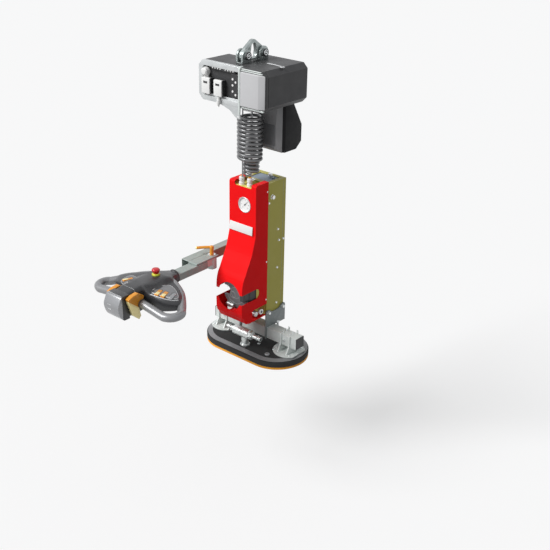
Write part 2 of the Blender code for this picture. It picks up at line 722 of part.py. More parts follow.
def inset_line(points, distance):
    """Return an open line moved sideways by a distance, to its left."""
    moved = []
    for index, point in enumerate(points):
        before = Vector(points[max(index - 1, 0)])
        after = Vector(points[min(index + 1, len(points) - 1)])
        run = (after - before).normalized()
        moved.append((point[0] - run.y * distance, point[1] + run.x * distance))
    return moved


def build_cover(shop, frame):
    """Red front cover: an S-shaped sheet shell with a round window, a slot, a hatch and notches."""
    outer = cover_profile()
    inner = inset_line(outer, COVER_SHEET)
    low = outer[-1][1]
    step = NOTCH_TOP - NOTCH_OVERCUT
    solid = outer + [(outer[-1][0], step), (COVER_BACK, step)]
    hollow = [(COVER_BACK + 0.02, inner[0][1])] + inner + [(COVER_BACK + 0.02, low + COVER_SHEET)]
    mesh = prism_mesh("cover", solid, COVER_WIDTH, "X")
    cover = shop.add("front_cover", mesh, "cover_red", (0, 0, 0), frame)
    inside = COVER_WIDTH - 2 * COVER_SHEET
    shop.tool("cover_hollow", prism_mesh("cover_hollow", hollow, inside, "X"), cover, (0, 0, 0))
    front = COVER_BACK - COVER_DEPTH_BOTTOM
    reach = COVER_DEPTH_BOTTOM
    window = rod_mesh("cover_window", WINDOW_RADIUS, reach, "Y", segments=40)
    shop.tool("cover_window", window, cover, (0, front, WINDOW_HEIGHT))
    end = TOWER_FRONT - SLOT_END
    rounding = SLOT_HEIGHT / 2
    slot = ([(front - 0.02, WINDOW_HEIGHT - rounding)]
            + arc((end - rounding, WINDOW_HEIGHT), rounding, -90, 90, 10)
            + [(front - 0.02, WINDOW_HEIGHT + rounding)])
    shop.tool("cover_slot", prism_mesh("cover_slot", slot, COVER_WIDTH * 1.2, "X"), cover, (0, 0, 0))
    notch_front = COVER_BACK - NOTCH_DEPTH
    notch_low = COVER_BOTTOM + COVER_SHEET + 0.004
    notch = ([(COVER_BACK + 0.02, notch_low)]
             + arc((notch_front + 0.012, notch_low + 0.012), 0.012, 270, 180, 4)
             + arc((notch_front + 0.012, NOTCH_TOP - 0.012), 0.012, 180, 90, 4)
             + [(COVER_BACK + 0.02, NOTCH_TOP)])
    shop.tool("cover_notch", prism_mesh("cover_notch", notch, COVER_WIDTH * 1.2, "X"), cover, (0, 0, 0))
    size = (HATCH_WIDTH, 2 * COVER_DEPTH_TOP + 0.02, 2 * HATCH_DROP)
    hatch = block_mesh("cover_hatch", size, 0.008, 2)
    shop.tool("cover_hatch", hatch, cover, (HATCH_X, COVER_BACK, COVER_TOP))
    gauge_hole = rod_mesh("gauge_hole", GAUGE_RADIUS + CLEARANCE, 0.05, "Y", segments=ROUND_SEGMENTS)
    shop.tool("gauge_hole", gauge_hole, cover, (GAUGE_X, COVER_BACK - COVER_DEPTH_TOP, GAUGE_HEIGHT))


def build_gauge(shop, frame, needle_frame):
    """Vacuum gauge behind the cover's front, with its needle."""
    face = COVER_BACK - COVER_DEPTH_TOP
    x, z = GAUGE_X, GAUGE_HEIGHT
    can = rod_mesh("gauge", GAUGE_RADIUS, GAUGE_DEPTH, "Y", segments=ROUND_SEGMENTS)
    gauge = shop.add("gauge_body", can, "white_plastic", (x, face + GAUGE_DEPTH / 2, z), frame)
    dish = rod_mesh("gauge_dish", GAUGE_RADIUS - GAUGE_BEZEL, 2 * GAUGE_BEZEL, "Y")
    shop.tool("gauge_dish", dish, gauge, (x, face, z))
    depth = face + GAUGE_DEPTH
    stem_length = COVER_BACK - CLEARANCE - depth + 0.002
    stem = rod_mesh("gauge_stem", GAUGE_STEM_RADIUS, stem_length, "Y", segments=SMALL_SEGMENTS)
    shop.tool("gauge_stem", stem, gauge, (x, depth + stem_length / 2 - 0.002, z), "UNION")
    tip = NEEDLE_LENGTH
    tail = 0.3 * tip
    half = 0.08 * tip
    needle = [(-half, -tail), (half, -tail), (0.7 * half, 0), (0.2 * half, tip), (-0.2 * half, tip),
              (-0.7 * half, 0)]
    mesh = prism_mesh("gauge_needle", needle, NEEDLE_THICKNESS, "Y")
    place = (x, face + GAUGE_BEZEL - CLEARANCE - NEEDLE_THICKNESS / 2, z)
    shop.add("gauge_needle", mesh, "pad_black", place, needle_frame)


def build_pump(shop, frame):
    """Vacuum pump in the cover's round window, its motor and the silver manifold below it."""
    back = COVER_BACK - COVER_DEPTH_BOTTOM + PUMP_FRONT
    centre = (0, back - PUMP_PLATE / 2, WINDOW_HEIGHT)
    pump = shop.add("pump_plate", rod_mesh("pump", PUMP_RADIUS, PUMP_PLATE, "Y", bevel=0.002),
                    "bracket_grey", centre, frame)
    reach = PUMP_RECESS_RADIUS
    for side in (-1, 1):
        recess = [(side * x, z) for x, z in arc((0, 0), reach, 90, 270, 10)]
        recess += [(side * PUMP_RADIUS, -reach), (side * PUMP_RADIUS, reach)]
        mesh = prism_mesh("pump_recess", recess, 3 * PUMP_PLATE, "Y")
        place = (side * (PUMP_RADIUS - PUMP_RECESS_INSET), centre[1], WINDOW_HEIGHT)
        shop.tool(f"pump_recess_{side}", mesh, pump, place)
    motor_front = back + CLEARANCE
    motor_back = COVER_BACK - CLEARANCE
    right = COVER_SIDE - COVER_SHEET - MOTOR_GAP
    size = (MOTOR_WIDTH, motor_back - motor_front, MOTOR_HEIGHT)
    place = (right - MOTOR_WIDTH / 2, (motor_back + motor_front) / 2, WINDOW_HEIGHT)
    motor = shop.add("pump_motor", block_mesh("motor", size, 0.010, 3), "hoist_grey", place, frame)
    nose_height = 2 * (PUMP_RECESS_RADIUS - 0.003)
    nose = block_mesh("motor_nose", (MOTOR_NOSE_WIDTH, MOTOR_NOSE + NOSE_ROOT, nose_height), 0.004, 2)
    nose_at = motor_front + (NOSE_ROOT - MOTOR_NOSE) / 2
    place = (right - MOTOR_GAP - MOTOR_NOSE_WIDTH / 2, nose_at, WINDOW_HEIGHT)
    shop.tool("motor_nose", nose, motor, place, "UNION")
    length = COVER_WIDTH - 2 * COVER_SHEET + MANIFOLD_OVERHANG
    place = (MANIFOLD_OVERHANG / 2 + 0.003, COVER_BACK - MANIFOLD_STANDOFF, MANIFOLD_HEIGHT)
    pipe = rod_mesh("manifold", MANIFOLD_RADIUS, length, "X", segments=24, bevel=0.002)
    manifold = shop.add("manifold", pipe, "steel", place, frame)
    stay_length = MANIFOLD_STANDOFF - CLEARANCE
    stay = rod_mesh("manifold_stay", MANIFOLD_STAY_RADIUS, stay_length, "Y", segments=SMALL_SEGMENTS)
    place = (MANIFOLD_STAY_X, COVER_BACK - stay_length / 2 - CLEARANCE, MANIFOLD_HEIGHT)
    shop.tool("manifold_stay", stay, manifold, place, "UNION")


def build_head_fittings(shop, frame):
    """White valve blocks and the chain anchor on the head plate."""
    for name, (x, y) in VALVE_PLACES.items():
        mesh = block_mesh(name, (VALVE_WIDTH, VALVE_WIDTH, VALVE_HEIGHT), 0.002, 2)
        shop.add(name, mesh, "white_plastic", (x, y, HEAD_TOP + CLEARANCE + VALVE_HEIGHT / 2), frame)
    mesh = block_mesh("chain_anchor", (ANCHOR_WIDTH, ANCHOR_DEPTH, ANCHOR_HEIGHT), 0.004, 2)
    shop.add("chain_anchor", mesh, "white_plastic",
             (0, LIFT_AXIS_Y, HEAD_TOP + CLEARANCE + ANCHOR_HEIGHT / 2), frame)


def build_tee(shop, frame):
    """Silver tee on the pad: a flanged stub, a barrel along X, a hex nut and two pipes."""
    x, y = TEE_PLACE
    low = PAD_TOP + CLEARANCE
    stub_height = TEE_HEIGHT - low
    stub = rod_mesh("tee", TEE_STUB_RADIUS, stub_height)
    tee = shop.add("vacuum_tee", stub, "steel", (x, y, low + stub_height / 2), frame)
    flange = rod_mesh("tee_flange", TEE_FLANGE_RADIUS, TEE_FLANGE_HEIGHT, bevel=0.002)
    shop.tool("tee_flange", flange, tee, (x, y, low + TEE_FLANGE_HEIGHT / 2), "UNION")
    barrel_at = x - TEE_BARREL_SHIFT
    right = barrel_at + TEE_BARREL_LENGTH / 2
    left = barrel_at - TEE_BARREL_LENGTH / 2
    barrel = rod_mesh("tee_barrel", TEE_BARREL_RADIUS, TEE_BARREL_LENGTH, "X", bevel=0.003)
    shop.tool("tee_barrel", barrel, tee, (barrel_at, y, TEE_HEIGHT), "UNION")
    nut = rod_mesh("tee_nut", TEE_BARREL_RADIUS * 0.9, TEE_NUT_LENGTH, "X", segments=6)
    nut_end = right - TEE_LAP + TEE_NUT_LENGTH
    shop.tool("tee_nut", nut, tee, (nut_end - TEE_NUT_LENGTH / 2, y, TEE_HEIGHT), "UNION")
    pipe = rod_mesh("tee_pipe", TEE_PIPE_RADIUS, TEE_PIPE_LENGTH, "X", segments=SMALL_SEGMENTS)
    shop.tool("tee_pipe", pipe, tee, (nut_end + TEE_PIPE_LENGTH / 2 - TEE_LAP, y, TEE_HEIGHT), "UNION")
    reducer = rod_mesh("tee_reducer", TEE_TAIL_RADIUS * 1.1, TEE_REDUCER_LENGTH, "X",
                       end_radius=TEE_STUB_RADIUS)
    reducer_end = left + TEE_LAP - TEE_REDUCER_LENGTH
    shop.tool("tee_reducer", reducer, tee, (reducer_end + TEE_REDUCER_LENGTH / 2, y, TEE_HEIGHT), "UNION")
    tail = rod_mesh("tee_tail", TEE_TAIL_RADIUS, TEE_TAIL_LENGTH, "X", segments=SMALL_SEGMENTS)
    place = (reducer_end + TEE_LAP - TEE_TAIL_LENGTH / 2, y, TEE_HEIGHT)
    shop.tool("tee_tail", tail, tee, place, "UNION")


def chamfered_outline(half_width, low, high, chamfer):
    """Return a rectangle with cut corners, as (X, Z)."""
    return [(half_width - chamfer, low), (half_width, low + chamfer), (half_width, high - chamfer),
            (half_width - chamfer, high), (chamfer - half_width, high), (-half_width, high - chamfer),
            (-half_width, low + chamfer), (chamfer - half_width, low)]


def build_hoist(shop, frame):
    """Dark hoist housing, its silver end frame, grey end cover and the open electric box."""
    depth = HOIST_REAR - HOIST_FRONT
    body = chamfered_outline(HOIST_WIDTH / 2, HOIST_BOTTOM, HOIST_TOP, HOIST_CHAMFER)
    mesh = prism_mesh("hoist", body, depth, "Y", bevel=0.002)
    middle = (0, (HOIST_REAR + HOIST_FRONT) / 2, 0)
    housing = shop.add("hoist_housing", mesh, "hoist_grey", middle, frame)
    step = block_mesh("hoist_step", (HOIST_WIDTH, depth, 3 * HOIST_HEIGHT))
    place = (HOIST_STEP_SIDE - HOIST_WIDTH / 2, HOIST_STEP_REAR + depth / 2, HOIST_BOTTOM)
    shop.tool("hoist_step", step, housing, place)
    face = HOIST_FRONT - CLEARANCE
    middle = (0, face - END_FRAME_DEPTH / 2, 0)
    mesh = prism_mesh("end_frame", body, END_FRAME_DEPTH, "Y")
    plate = shop.add("end_frame", mesh, "zinc", middle, frame)
    left = END_WINDOW_LEFT
    right = END_COVER_LEFT - 0.014
    window = (right - left, 3 * END_FRAME_DEPTH, HOIST_HEIGHT - 2 * END_FRAME_BORDER)
    place = ((left + right) / 2, middle[1], HOIST_BOTTOM + HOIST_HEIGHT / 2)
    shop.tool("end_window", block_mesh("end_window", window, 0.012, 2), plate, place)
    apron = [(-0.110, HOIST_BOTTOM + 0.004), (-0.060, HOIST_BOTTOM - 0.006), (-0.010, HOIST_BOTTOM - 0.022),
             (0.026, HOIST_BOTTOM - 0.050), (0.050, HOIST_BOTTOM - 0.054), (0.050, HOIST_BOTTOM + 0.004)]
    mesh = prism_mesh("end_apron", apron, 0.006, "Y")
    shop.tool("end_apron", mesh, plate, (0, face - END_FRAME_DEPTH + 0.004, 0), "UNION")
    front = face - END_FRAME_DEPTH - CLEARANCE
    wide = HOIST_WIDTH / 2 - 0.002
    cover = [(END_COVER_LEFT, front), (END_COVER_LEFT, front - END_COVER_DEPTH + END_FRAME_DEPTH),
             (wide - END_COVER_FACET, front - END_COVER_DEPTH + END_FRAME_DEPTH), (wide, front)]
    mesh = prism_mesh("end_cover", cover, HOIST_HEIGHT - 2 * END_COVER_MARGIN, "Z", bevel=0.003)
    shop.add("end_cover", mesh, "cover_grey", (0, 0, HOIST_BOTTOM + HOIST_HEIGHT / 2), frame)
    box_low = HOIST_BOTTOM + END_FRAME_BORDER + CONTACTOR_LIFT
    for name, (inset, width) in CONTACTOR_PLACES.items():
        mesh = block_mesh(name, (width, CONTACTOR_DEPTH, CONTACTOR_HEIGHT), 0.003, 2)
        place = (left + inset + width / 2, face - CONTACTOR_DEPTH / 2, box_low + CONTACTOR_HEIGHT / 2)
        shop.add(name, mesh, "white_plastic", place, frame)
    mesh = block_mesh("terminal_block", (TERMINAL_WIDTH, TERMINAL_DEPTH, TERMINAL_HEIGHT), 0.002, 1)
    place = (right - TERMINAL_WIDTH / 2 - 0.010, face - TERMINAL_DEPTH / 2, HOIST_BOTTOM + HOIST_HEIGHT / 2)
    shop.add("terminal_block", mesh, "pad_black", place, frame)
    mesh = rod_mesh("cable_gland", GLAND_RADIUS, GLAND_LENGTH, segments=16, bevel=0.001)
    place = (GLAND_X, front - GLAND_RADIUS, HOIST_BOTTOM - GLAND_DROP + GLAND_LENGTH / 2)
    shop.add("cable_gland", mesh, "white_plastic", place, frame)


def eye_outline():
    """Return the suspension eye's outline: round corners on the two pins and a round top."""
    half = PIN_SPACING / 2
    right = arc((half, 0), EYE_CORNER_RADIUS, -90, 40, 8)
    crown = arc((0, EYE_RISE), EYE_TOP_RADIUS, 45, 135, 6)
    left = arc((-half, 0), EYE_CORNER_RADIUS, 140, 270, 8)
    return right + crown + left


def build_suspension(shop, frame):
    """Two lugs on the hoist, their pins and the eye between them, which hangs on a crane hook."""
    half = PIN_SPACING / 2
    ear_at = EYE_THICKNESS / 2 + LUG_GAP + LUG_EAR_THICKNESS / 2
    base_low = HOIST_TOP + CLEARANCE
    ear_outline = ([(LUG_EAR_RADIUS, base_low - PIN_HEIGHT + 0.002)]
                   + arc((0, 0), LUG_EAR_RADIUS, 0, 180, 12)
                   + [(-LUG_EAR_RADIUS, base_low - PIN_HEIGHT + 0.002)])
    for side, name in ((-1, "front"), (1, "rear")):
        y = LIFT_AXIS_Y + side * half
        base = block_mesh("lug", (2 * ear_at + LUG_EAR_THICKNESS, 2 * LUG_EAR_RADIUS, LUG_BASE))
        lug = shop.add(f"lug_{name}", base, "zinc", (0, y, base_low + LUG_BASE / 2), frame)
        for hand in (-1, 1):
            ear = prism_mesh("ear", ear_outline, LUG_EAR_THICKNESS, "X")
            shop.tool(f"ear_{name}_{hand}", ear, lug, (hand * ear_at, y, PIN_HEIGHT), "UNION")
        bore = rod_mesh("lug_bore", PIN_RADIUS + CLEARANCE, 6 * ear_at, "X", segments=24)
        shop.tool(f"lug_bore_{name}", bore, lug, (0, y, PIN_HEIGHT))
        length = 2 * ear_at + LUG_EAR_THICKNESS + 2 * PIN_END
        mesh = rod_mesh("pin", PIN_RADIUS, length, "X", segments=24, bevel=0.001)
        pin = shop.add(f"lug_pin_{name}", mesh, "steel", (0, y, PIN_HEIGHT), frame)
        head = rod_mesh("pin_head", PIN_HEAD_RADIUS, PIN_HEAD, "X", segments=24, bevel=0.001)
        head_at = ear_at + LUG_EAR_THICKNESS / 2 + CLEARANCE + PIN_HEAD / 2
        shop.tool(f"pin_head_{name}", head, pin, (head_at, y, PIN_HEIGHT), "UNION")
    eye = shop.add("suspension_eye", prism_mesh("eye", eye_outline(), EYE_THICKNESS, "X", bevel=0.002),
                   "zinc", (0, LIFT_AXIS_Y, PIN_HEIGHT), frame)
    for side in (-1, 1):
        bore = rod_mesh("eye_bore", PIN_RADIUS + CLEARANCE, 2 * EYE_THICKNESS, "X", segments=24)
        shop.tool(f"eye_bore_{side}", bore, eye, (0, LIFT_AXIS_Y + side * half, PIN_HEIGHT))
    hole = (arc((0, EYE_HOLE_HIGH), EYE_HOLE_TOP_RADIUS, 0, 180, 8)
            + arc((0, EYE_HOLE_LOW), EYE_HOLE_RADIUS, 180, 360, 8))
    mesh = prism_mesh("eye_hole", hole, 2 * EYE_THICKNESS, "X")
    shop.tool("eye_hole", mesh, eye, (0, LIFT_AXIS_Y, PIN_HEIGHT))


def build_chain(shop, frame):
    """Chain guide and chain bucket under the hoist, and the load chain down to the anchor."""
    low = HOIST_BOTTOM - CLEARANCE
    mesh = rod_mesh("chain_guide", GUIDE_RADIUS * 0.8, GUIDE_HEIGHT, end_radius=GUIDE_RADIUS, bevel=0.002)
    shop.add("chain_guide", mesh, "white_plastic", (0, LIFT_AXIS_Y, low - GUIDE_HEIGHT / 2), frame)
    top = low - GUIDE_HEIGHT - CLEARANCE
    bottom = HEAD_TOP + ANCHOR_HEIGHT + 2 * CLEARANCE
    mesh = rod_mesh("load_chain", CHAIN_RADIUS, top - bottom, segments=10)
    shop.add("load_chain", mesh, "steel", (0, LIFT_AXIS_Y, (top + bottom) / 2), frame)
    bucket_low = low - BUCKET_HEIGHT
    shoulder = low - BUCKET_SHOULDER
    rear = BUCKET_FRONT + BUCKET_DEPTH
    side_view = [(BUCKET_FRONT + BUCKET_LEAN, low), (BUCKET_FRONT, low - BUCKET_BEND),
                 (BUCKET_FRONT, bucket_low + 0.016), (BUCKET_FRONT + 0.018, bucket_low),
                 (rear - 0.040, bucket_low), (rear, bucket_low + 0.034), (rear, shoulder),
                 (BUCKET_FRONT + BUCKET_TOP_DEPTH, low)]
    middle = (BUCKET_LEFT + BUCKET_WIDTH / 2, 0, 0)
    bucket = shop.add("chain_bucket", prism_mesh("bucket", side_view, BUCKET_WIDTH, "X"), "hoist_grey",
                      middle, frame)
    half = BUCKET_WIDTH / 2
    across, back = BUCKET_CORNER
    outside = half + across
    for side in (-1, 1):
        corner = [(side * (half - across), -back), (side * outside, -back), (side * outside, back),
                  (side * half, back), (side * (half - across), 0)]
        mesh = prism_mesh("bucket_corner", corner, 2 * BUCKET_HEIGHT, "Z")
        shop.tool(f"bucket_corner_{side}", mesh, bucket, (middle[0], BUCKET_FRONT, low - BUCKET_HEIGHT / 2))


def coil_points():
    """Return the spiral hose's centre line: wide turns, a short funnel and the narrow neck."""
    top = HOIST_BOTTOM - COIL_DROP
    bottom = HEAD_TOP + VALVE_HEIGHT + 2 * CLEARANCE + HOSE_RADIUS
    turns = COIL_TURNS + COIL_FUNNEL_TURNS + COIL_NECK_TURNS
    steps = round(turns * COIL_STEPS)
    points = []
    for step in range(steps + 1):
        turn = turns * step / steps
        share = min(max((turn - COIL_TURNS) / COIL_FUNNEL_TURNS, 0.0), 1.0)
        ease = share * share * (3 - 2 * share)
        radius = COIL_RADIUS + (COIL_NECK_RADIUS - COIL_RADIUS) * ease
        angle = COIL_START + math.tau * turn
        points.append((COIL_SHIFT[0] * (1 - ease) + radius * math.cos(angle),
                       LIFT_AXIS_Y + COIL_SHIFT[1] * (1 - ease) + radius * math.sin(angle),
                       top + (bottom - top) * step / steps))
    return points


def build_hoses(shop, frame):
    """Spiral hose round the chain with its fitting, and the straight control cable."""
    line = coil_points()
    x, y, z = line[0]
    low = z + HOSE_RADIUS + CLEARANCE
    top = HOIST_BOTTOM - CLEARANCE
    mesh = rod_mesh("hose_fitting", FITTING_RADIUS, top - low, segments=SMALL_SEGMENTS, bevel=0.001)
    shop.add("hose_fitting", mesh, "white_plastic", (x, y, (top + low) / 2), frame)
    shop.add("spiral_hose", hose_mesh("spiral_hose", line, HOSE_RADIUS), "hose_black", (0, 0, 0), frame)
    low = HEAD_TOP + VALVE_HEIGHT + 2 * CLEARANCE
    x = CABLE_OUT * math.cos(CABLE_ANGLE)
    y = LIFT_AXIS_Y + CABLE_OUT * math.sin(CABLE_ANGLE)
    mesh = rod_mesh("control_cable", CABLE_RADIUS, top - low, segments=10)
    shop.add("control_cable", mesh, "grip_grey", (x, y, (top + low) / 2), frame)


def build_arm(shop, frame, lever_frame):
    """Square arm on the tower's left side, its pivot plate, bolt and clamp lever."""
    centre = ((ARM_LEFT + ARM_RIGHT) / 2, (ARM_FRONT + ARM_REAR) / 2, (ARM_BOTTOM + ARM_TOP) / 2)
    length = ARM_REAR - ARM_FRONT
    mesh = block_mesh("arm", (ARM_SIZE, length, ARM_SIZE), 0.002, 1)
    arm = shop.add("arm_tube", mesh, "zinc", centre, frame)
    bore = ARM_SIZE - 2 * ARM_WALL
    shop.tool("arm_bore", block_mesh("arm_bore", (bore, length * 1.1, bore)), arm, centre)
    flange_x = -TOWER_SIDE - CLEARANCE - ARM_FLANGE_THICKNESS / 2
    flange_y = ARM_REAR - ARM_SIZE / 2
    size = (ARM_FLANGE_THICKNESS, ARM_FLANGE_WIDTH, ARM_FLANGE_HEIGHT)
    flange = block_mesh("arm_flange", size, 0.002, 1)
    arm_bracket = shop.add("arm_bracket", flange, "zinc", (flange_x, flange_y, centre[2]), frame)
    stub_left = ARM_RIGHT + CLEARANCE
    stub_right = flange_x
    stub = block_mesh("arm_stub", (stub_right - stub_left, ARM_SIZE, ARM_SIZE))
    shop.tool("arm_stub", stub, arm_bracket, ((stub_left + stub_right) / 2, flange_y, centre[2]), "UNION")
    plate_left = ARM_RIGHT + CLEARANCE
    size = (PIVOT_PLATE_WIDTH, PIVOT_PLATE_LENGTH, PIVOT_PLATE_THICKNESS)
    plate = block_mesh("pivot_plate", size, 0.001, 1)
    place = (plate_left + PIVOT_PLATE_WIDTH / 2, ARM_FRONT + PIVOT_PLATE_LENGTH / 2,
             ARM_TOP - PIVOT_PLATE_THICKNESS / 2)
    pivot = (CONTROL_X, PIVOT_Y)
    plate = shop.add("pivot_plate", plate, "zinc", place, frame)
    hole = rod_mesh("pivot_hole", BOLT_RADIUS + CLEARANCE, 4 * PIVOT_PLATE_THICKNESS,
                    segments=SMALL_SEGMENTS)
    shop.tool("pivot_hole", hole, plate, (*pivot, place[2]))
    bushing_low = BUSHING_TOP - BUSHING_HEIGHT
    bolt_low = bushing_low - CLEARANCE - BOLT_NUT_HEIGHT
    washer_top = ARM_TOP + CLEARANCE + WASHER_THICKNESS
    bolt = rod_mesh("pivot_bolt", BOLT_RADIUS, washer_top - bolt_low, segments=SMALL_SEGMENTS)
    bolt = shop.add("pivot_bolt", bolt, "steel", (*pivot, (washer_top + bolt_low) / 2), frame)
    nut = rod_mesh("pivot_nut", BOLT_NUT_RADIUS, BOLT_NUT_HEIGHT, segments=6)
    shop.tool("pivot_nut", nut, bolt, (*pivot, bolt_low + BOLT_NUT_HEIGHT / 2), "UNION")
    washer = rod_mesh("pivot_washer", WASHER_RADIUS, WASHER_THICKNESS, segments=24)
    shop.tool("pivot_washer", washer, bolt, (*pivot, washer_top - WASHER_THICKNESS / 2), "UNION")
    hub_low = washer_top + CLEARANCE
    hub = rod_mesh("clamp_lever", LEVER_HUB_RADIUS * 0.85, LEVER_HUB_HEIGHT, end_radius=LEVER_HUB_RADIUS,
                   segments=SMALL_SEGMENTS, bevel=0.001)
    lever = shop.add("clamp_lever", hub, "signal_gold", (*pivot, hub_low + LEVER_HUB_HEIGHT / 2), lever_frame)
    arm_at = LEVER_LENGTH / 2
    size = (LEVER_LENGTH, LEVER_THICKNESS, LEVER_THICKNESS)
    handle = block_mesh("lever_arm", size, 0.004, 2, (arm_at, 0, 0))
    handle.transform(Matrix.Rotation(LEVER_AZIMUTH, 4, "Z"))
    handle_at = hub_low + LEVER_HUB_HEIGHT - LEVER_THICKNESS / 2 - 0.001
    shop.tool("lever_arm", handle, lever, (*pivot, handle_at), "UNION")


def skin_height(across, spine, crown, half_width, rim, corner):
    """Return the height of the housing's top skin at a distance from its middle, on one section."""
    fall = min(max((abs(across) - SPINE_HALF_WIDTH) / SPINE_SLOPE, 0.0), 1.0)
    top = spine + (crown - spine) * fall * fall * (3 - 2 * fall)
    reach = min(abs(across) / half_width, 1.0) ** (1 / corner)
    return rim + (top - rim) * (1 - reach * reach) ** (corner / 2)


def housing_rows():
    """Return the housing's sections from the collar to the nose.

    Each row holds the distance from the housing's rear, the half width, the heights of the spine,
    the wing's crown, the widest line and the underside, and the corner value of the section.
    """
    top = HOUSING_TOP
    crown = top - WING_DROP
    low = HOUSING_BOTTOM
    wide = HOUSING_HALF_WIDTH
    nose = NOSE_HALF_WIDTH
    stem = STEM_WIDTH / 2 + 0.010
    return [
        (0.000, stem, top - 0.021, top - 0.021, top - 0.051, low + 0.049, 0.60),
        (0.037, stem + 0.008, top - 0.012, top - 0.012, top - 0.049, low + 0.043, 0.50),
        (0.062, 0.37 * wide, top - 0.007, crown + 0.010, top - 0.043, low + 0.040, 0.60),
        (0.077, 0.54 * wide, top - 0.004, crown + 0.006, top - 0.051, low + 0.036, 0.60),
        (0.092, 0.70 * wide, top - 0.002, crown + 0.003, top - 0.061, low + 0.033, 0.60),
        (0.122, 0.89 * wide, top - 0.001, crown + 0.001, top - 0.071, low + 0.030, 0.60),
        (0.157, wide, top, crown, top - 0.079, low + 0.027, 0.60),
        (0.177, 0.98 * wide, top, crown, top - 0.082, low + 0.023, 0.60),
        (0.202, 0.86 * wide, top, crown, top - 0.079, low + 0.019, 0.60),
        (0.220, 0.70 * wide, top, crown, top - 0.077, low + 0.015, 0.60),
        (0.229, 0.47 * wide, top, crown, top - 0.075, low + 0.011, 0.60),
        (0.234, nose + 0.010, top, crown + 0.020, top - 0.070, low + 0.007, 0.45),
        (0.240, nose, top, top, top - 0.067, low + 0.004, 0.30),
        (0.283, nose, top - 0.001, top - 0.001, top - 0.066, low, 0.30),
        (HOUSING_LENGTH, nose - 0.001, top - CAP_DROP, top - CAP_DROP, top - 0.070, low + 0.002, 0.30),
    ]


def housing_ring(row):
    """Return one section of the control housing as a ring of points."""
    back, half_width, spine, crown, rim, bottom, corner = row
    ring = []
    for step in range(HOUSING_STEPS):
        angle = math.tau * step / HOUSING_STEPS
        across = half_width * math.copysign(abs(math.cos(angle)) ** corner, math.cos(angle))
        height = rim - abs(math.sin(angle)) ** corner * (rim - bottom)
        if math.sin(angle) >= 0:
            height = skin_height(across, spine, crown, half_width, rim, corner)
        ring.append((across, HOUSING_REAR - back, height))
    return ring


def wing_height(across, back):
    """Return the height of the housing's top skin at a place, between the two nearest sections."""
    rows = housing_rows()
    for near, far in zip(rows, rows[1:]):
        if near[0] <= back <= far[0]:
            share = (back - near[0]) / (far[0] - near[0])
            heights = [skin_height(across, row[2], row[3], row[1], row[4], row[6]) for row in (near, far)]
            return heights[0] + (heights[1] - heights[0]) * share
    return HOUSING_TOP


def grip_line(side, extra=0.0):
    """Return a handle's centre line from the nose, round the bend and along the wing's rear edge."""
    root = NOSE_HALF_WIDTH - GRIP_INSERT - extra
    front = HOUSING_FRONT + GRIP_BACKSET
    high = GRIP_ROOT_HEIGHT
    low = GRIP_OUTER_HEIGHT
    bend = [(GRIP_REACH + GRIP_BEND * math.sin(a), front + GRIP_BEND * (1 - math.cos(a)), low)
            for a in (math.radians(step * 16) for step in range(10))]
    level = NOSE_HALF_WIDTH + TRIGGER_WIDTH + 0.006
    root_leg = [(root, front, high), (NOSE_HALF_WIDTH, front, high), (level, front, high),
                ((level + GRIP_REACH) / 2, front, (high + low) / 2)]
    tail = [(across, front + back, low + rise) for across, back, rise in GRIP_TAIL]
    end = (GRIP_END[0] - extra, front + GRIP_END[1] + extra, low + GRIP_END[2])
    return [(side * x, y, z) for x, y, z in smooth_line(root_leg + bend + tail + [end], 2)]


def build_handles(shop, housing, frame):
    """Two loop handles, each seated in the nose and along the rear edge of its wing."""
    place = (CONTROL_X, 0, 0)
    for side, name in ((-1, "left"), (1, "right")):
        grip = hose_mesh("grip", grip_line(side), GRIP_RADIUS, 3)
        shop.add(f"handle_{name}", grip, "grip_grey", place, frame)
        seat = hose_mesh("grip_seat", grip_line(side, CLEARANCE), GRIP_RADIUS + CLEARANCE, 3)
        shop.tool(f"grip_seat_{name}", seat, housing, place)


def cap_outline():
    """Return the nose cap's side view, with a bulging front that sweeps back to the underside."""
    back = HOUSING_FRONT - CLEARANCE
    high = HOUSING_TOP - CAP_DROP
    tall = high - HOUSING_BOTTOM
    bulge = [(0.62, 0.99), (0.74, 0.93), (0.98, 0.64), (0.98, 0.46), (0.80, 0.18), (0.48, 0.0)]
    front = smooth_line([(back - out * CAP_LENGTH, HOUSING_BOTTOM + up * tall) for out, up in bulge], 3)
    return [(back, HOUSING_BOTTOM), (back, high)] + front


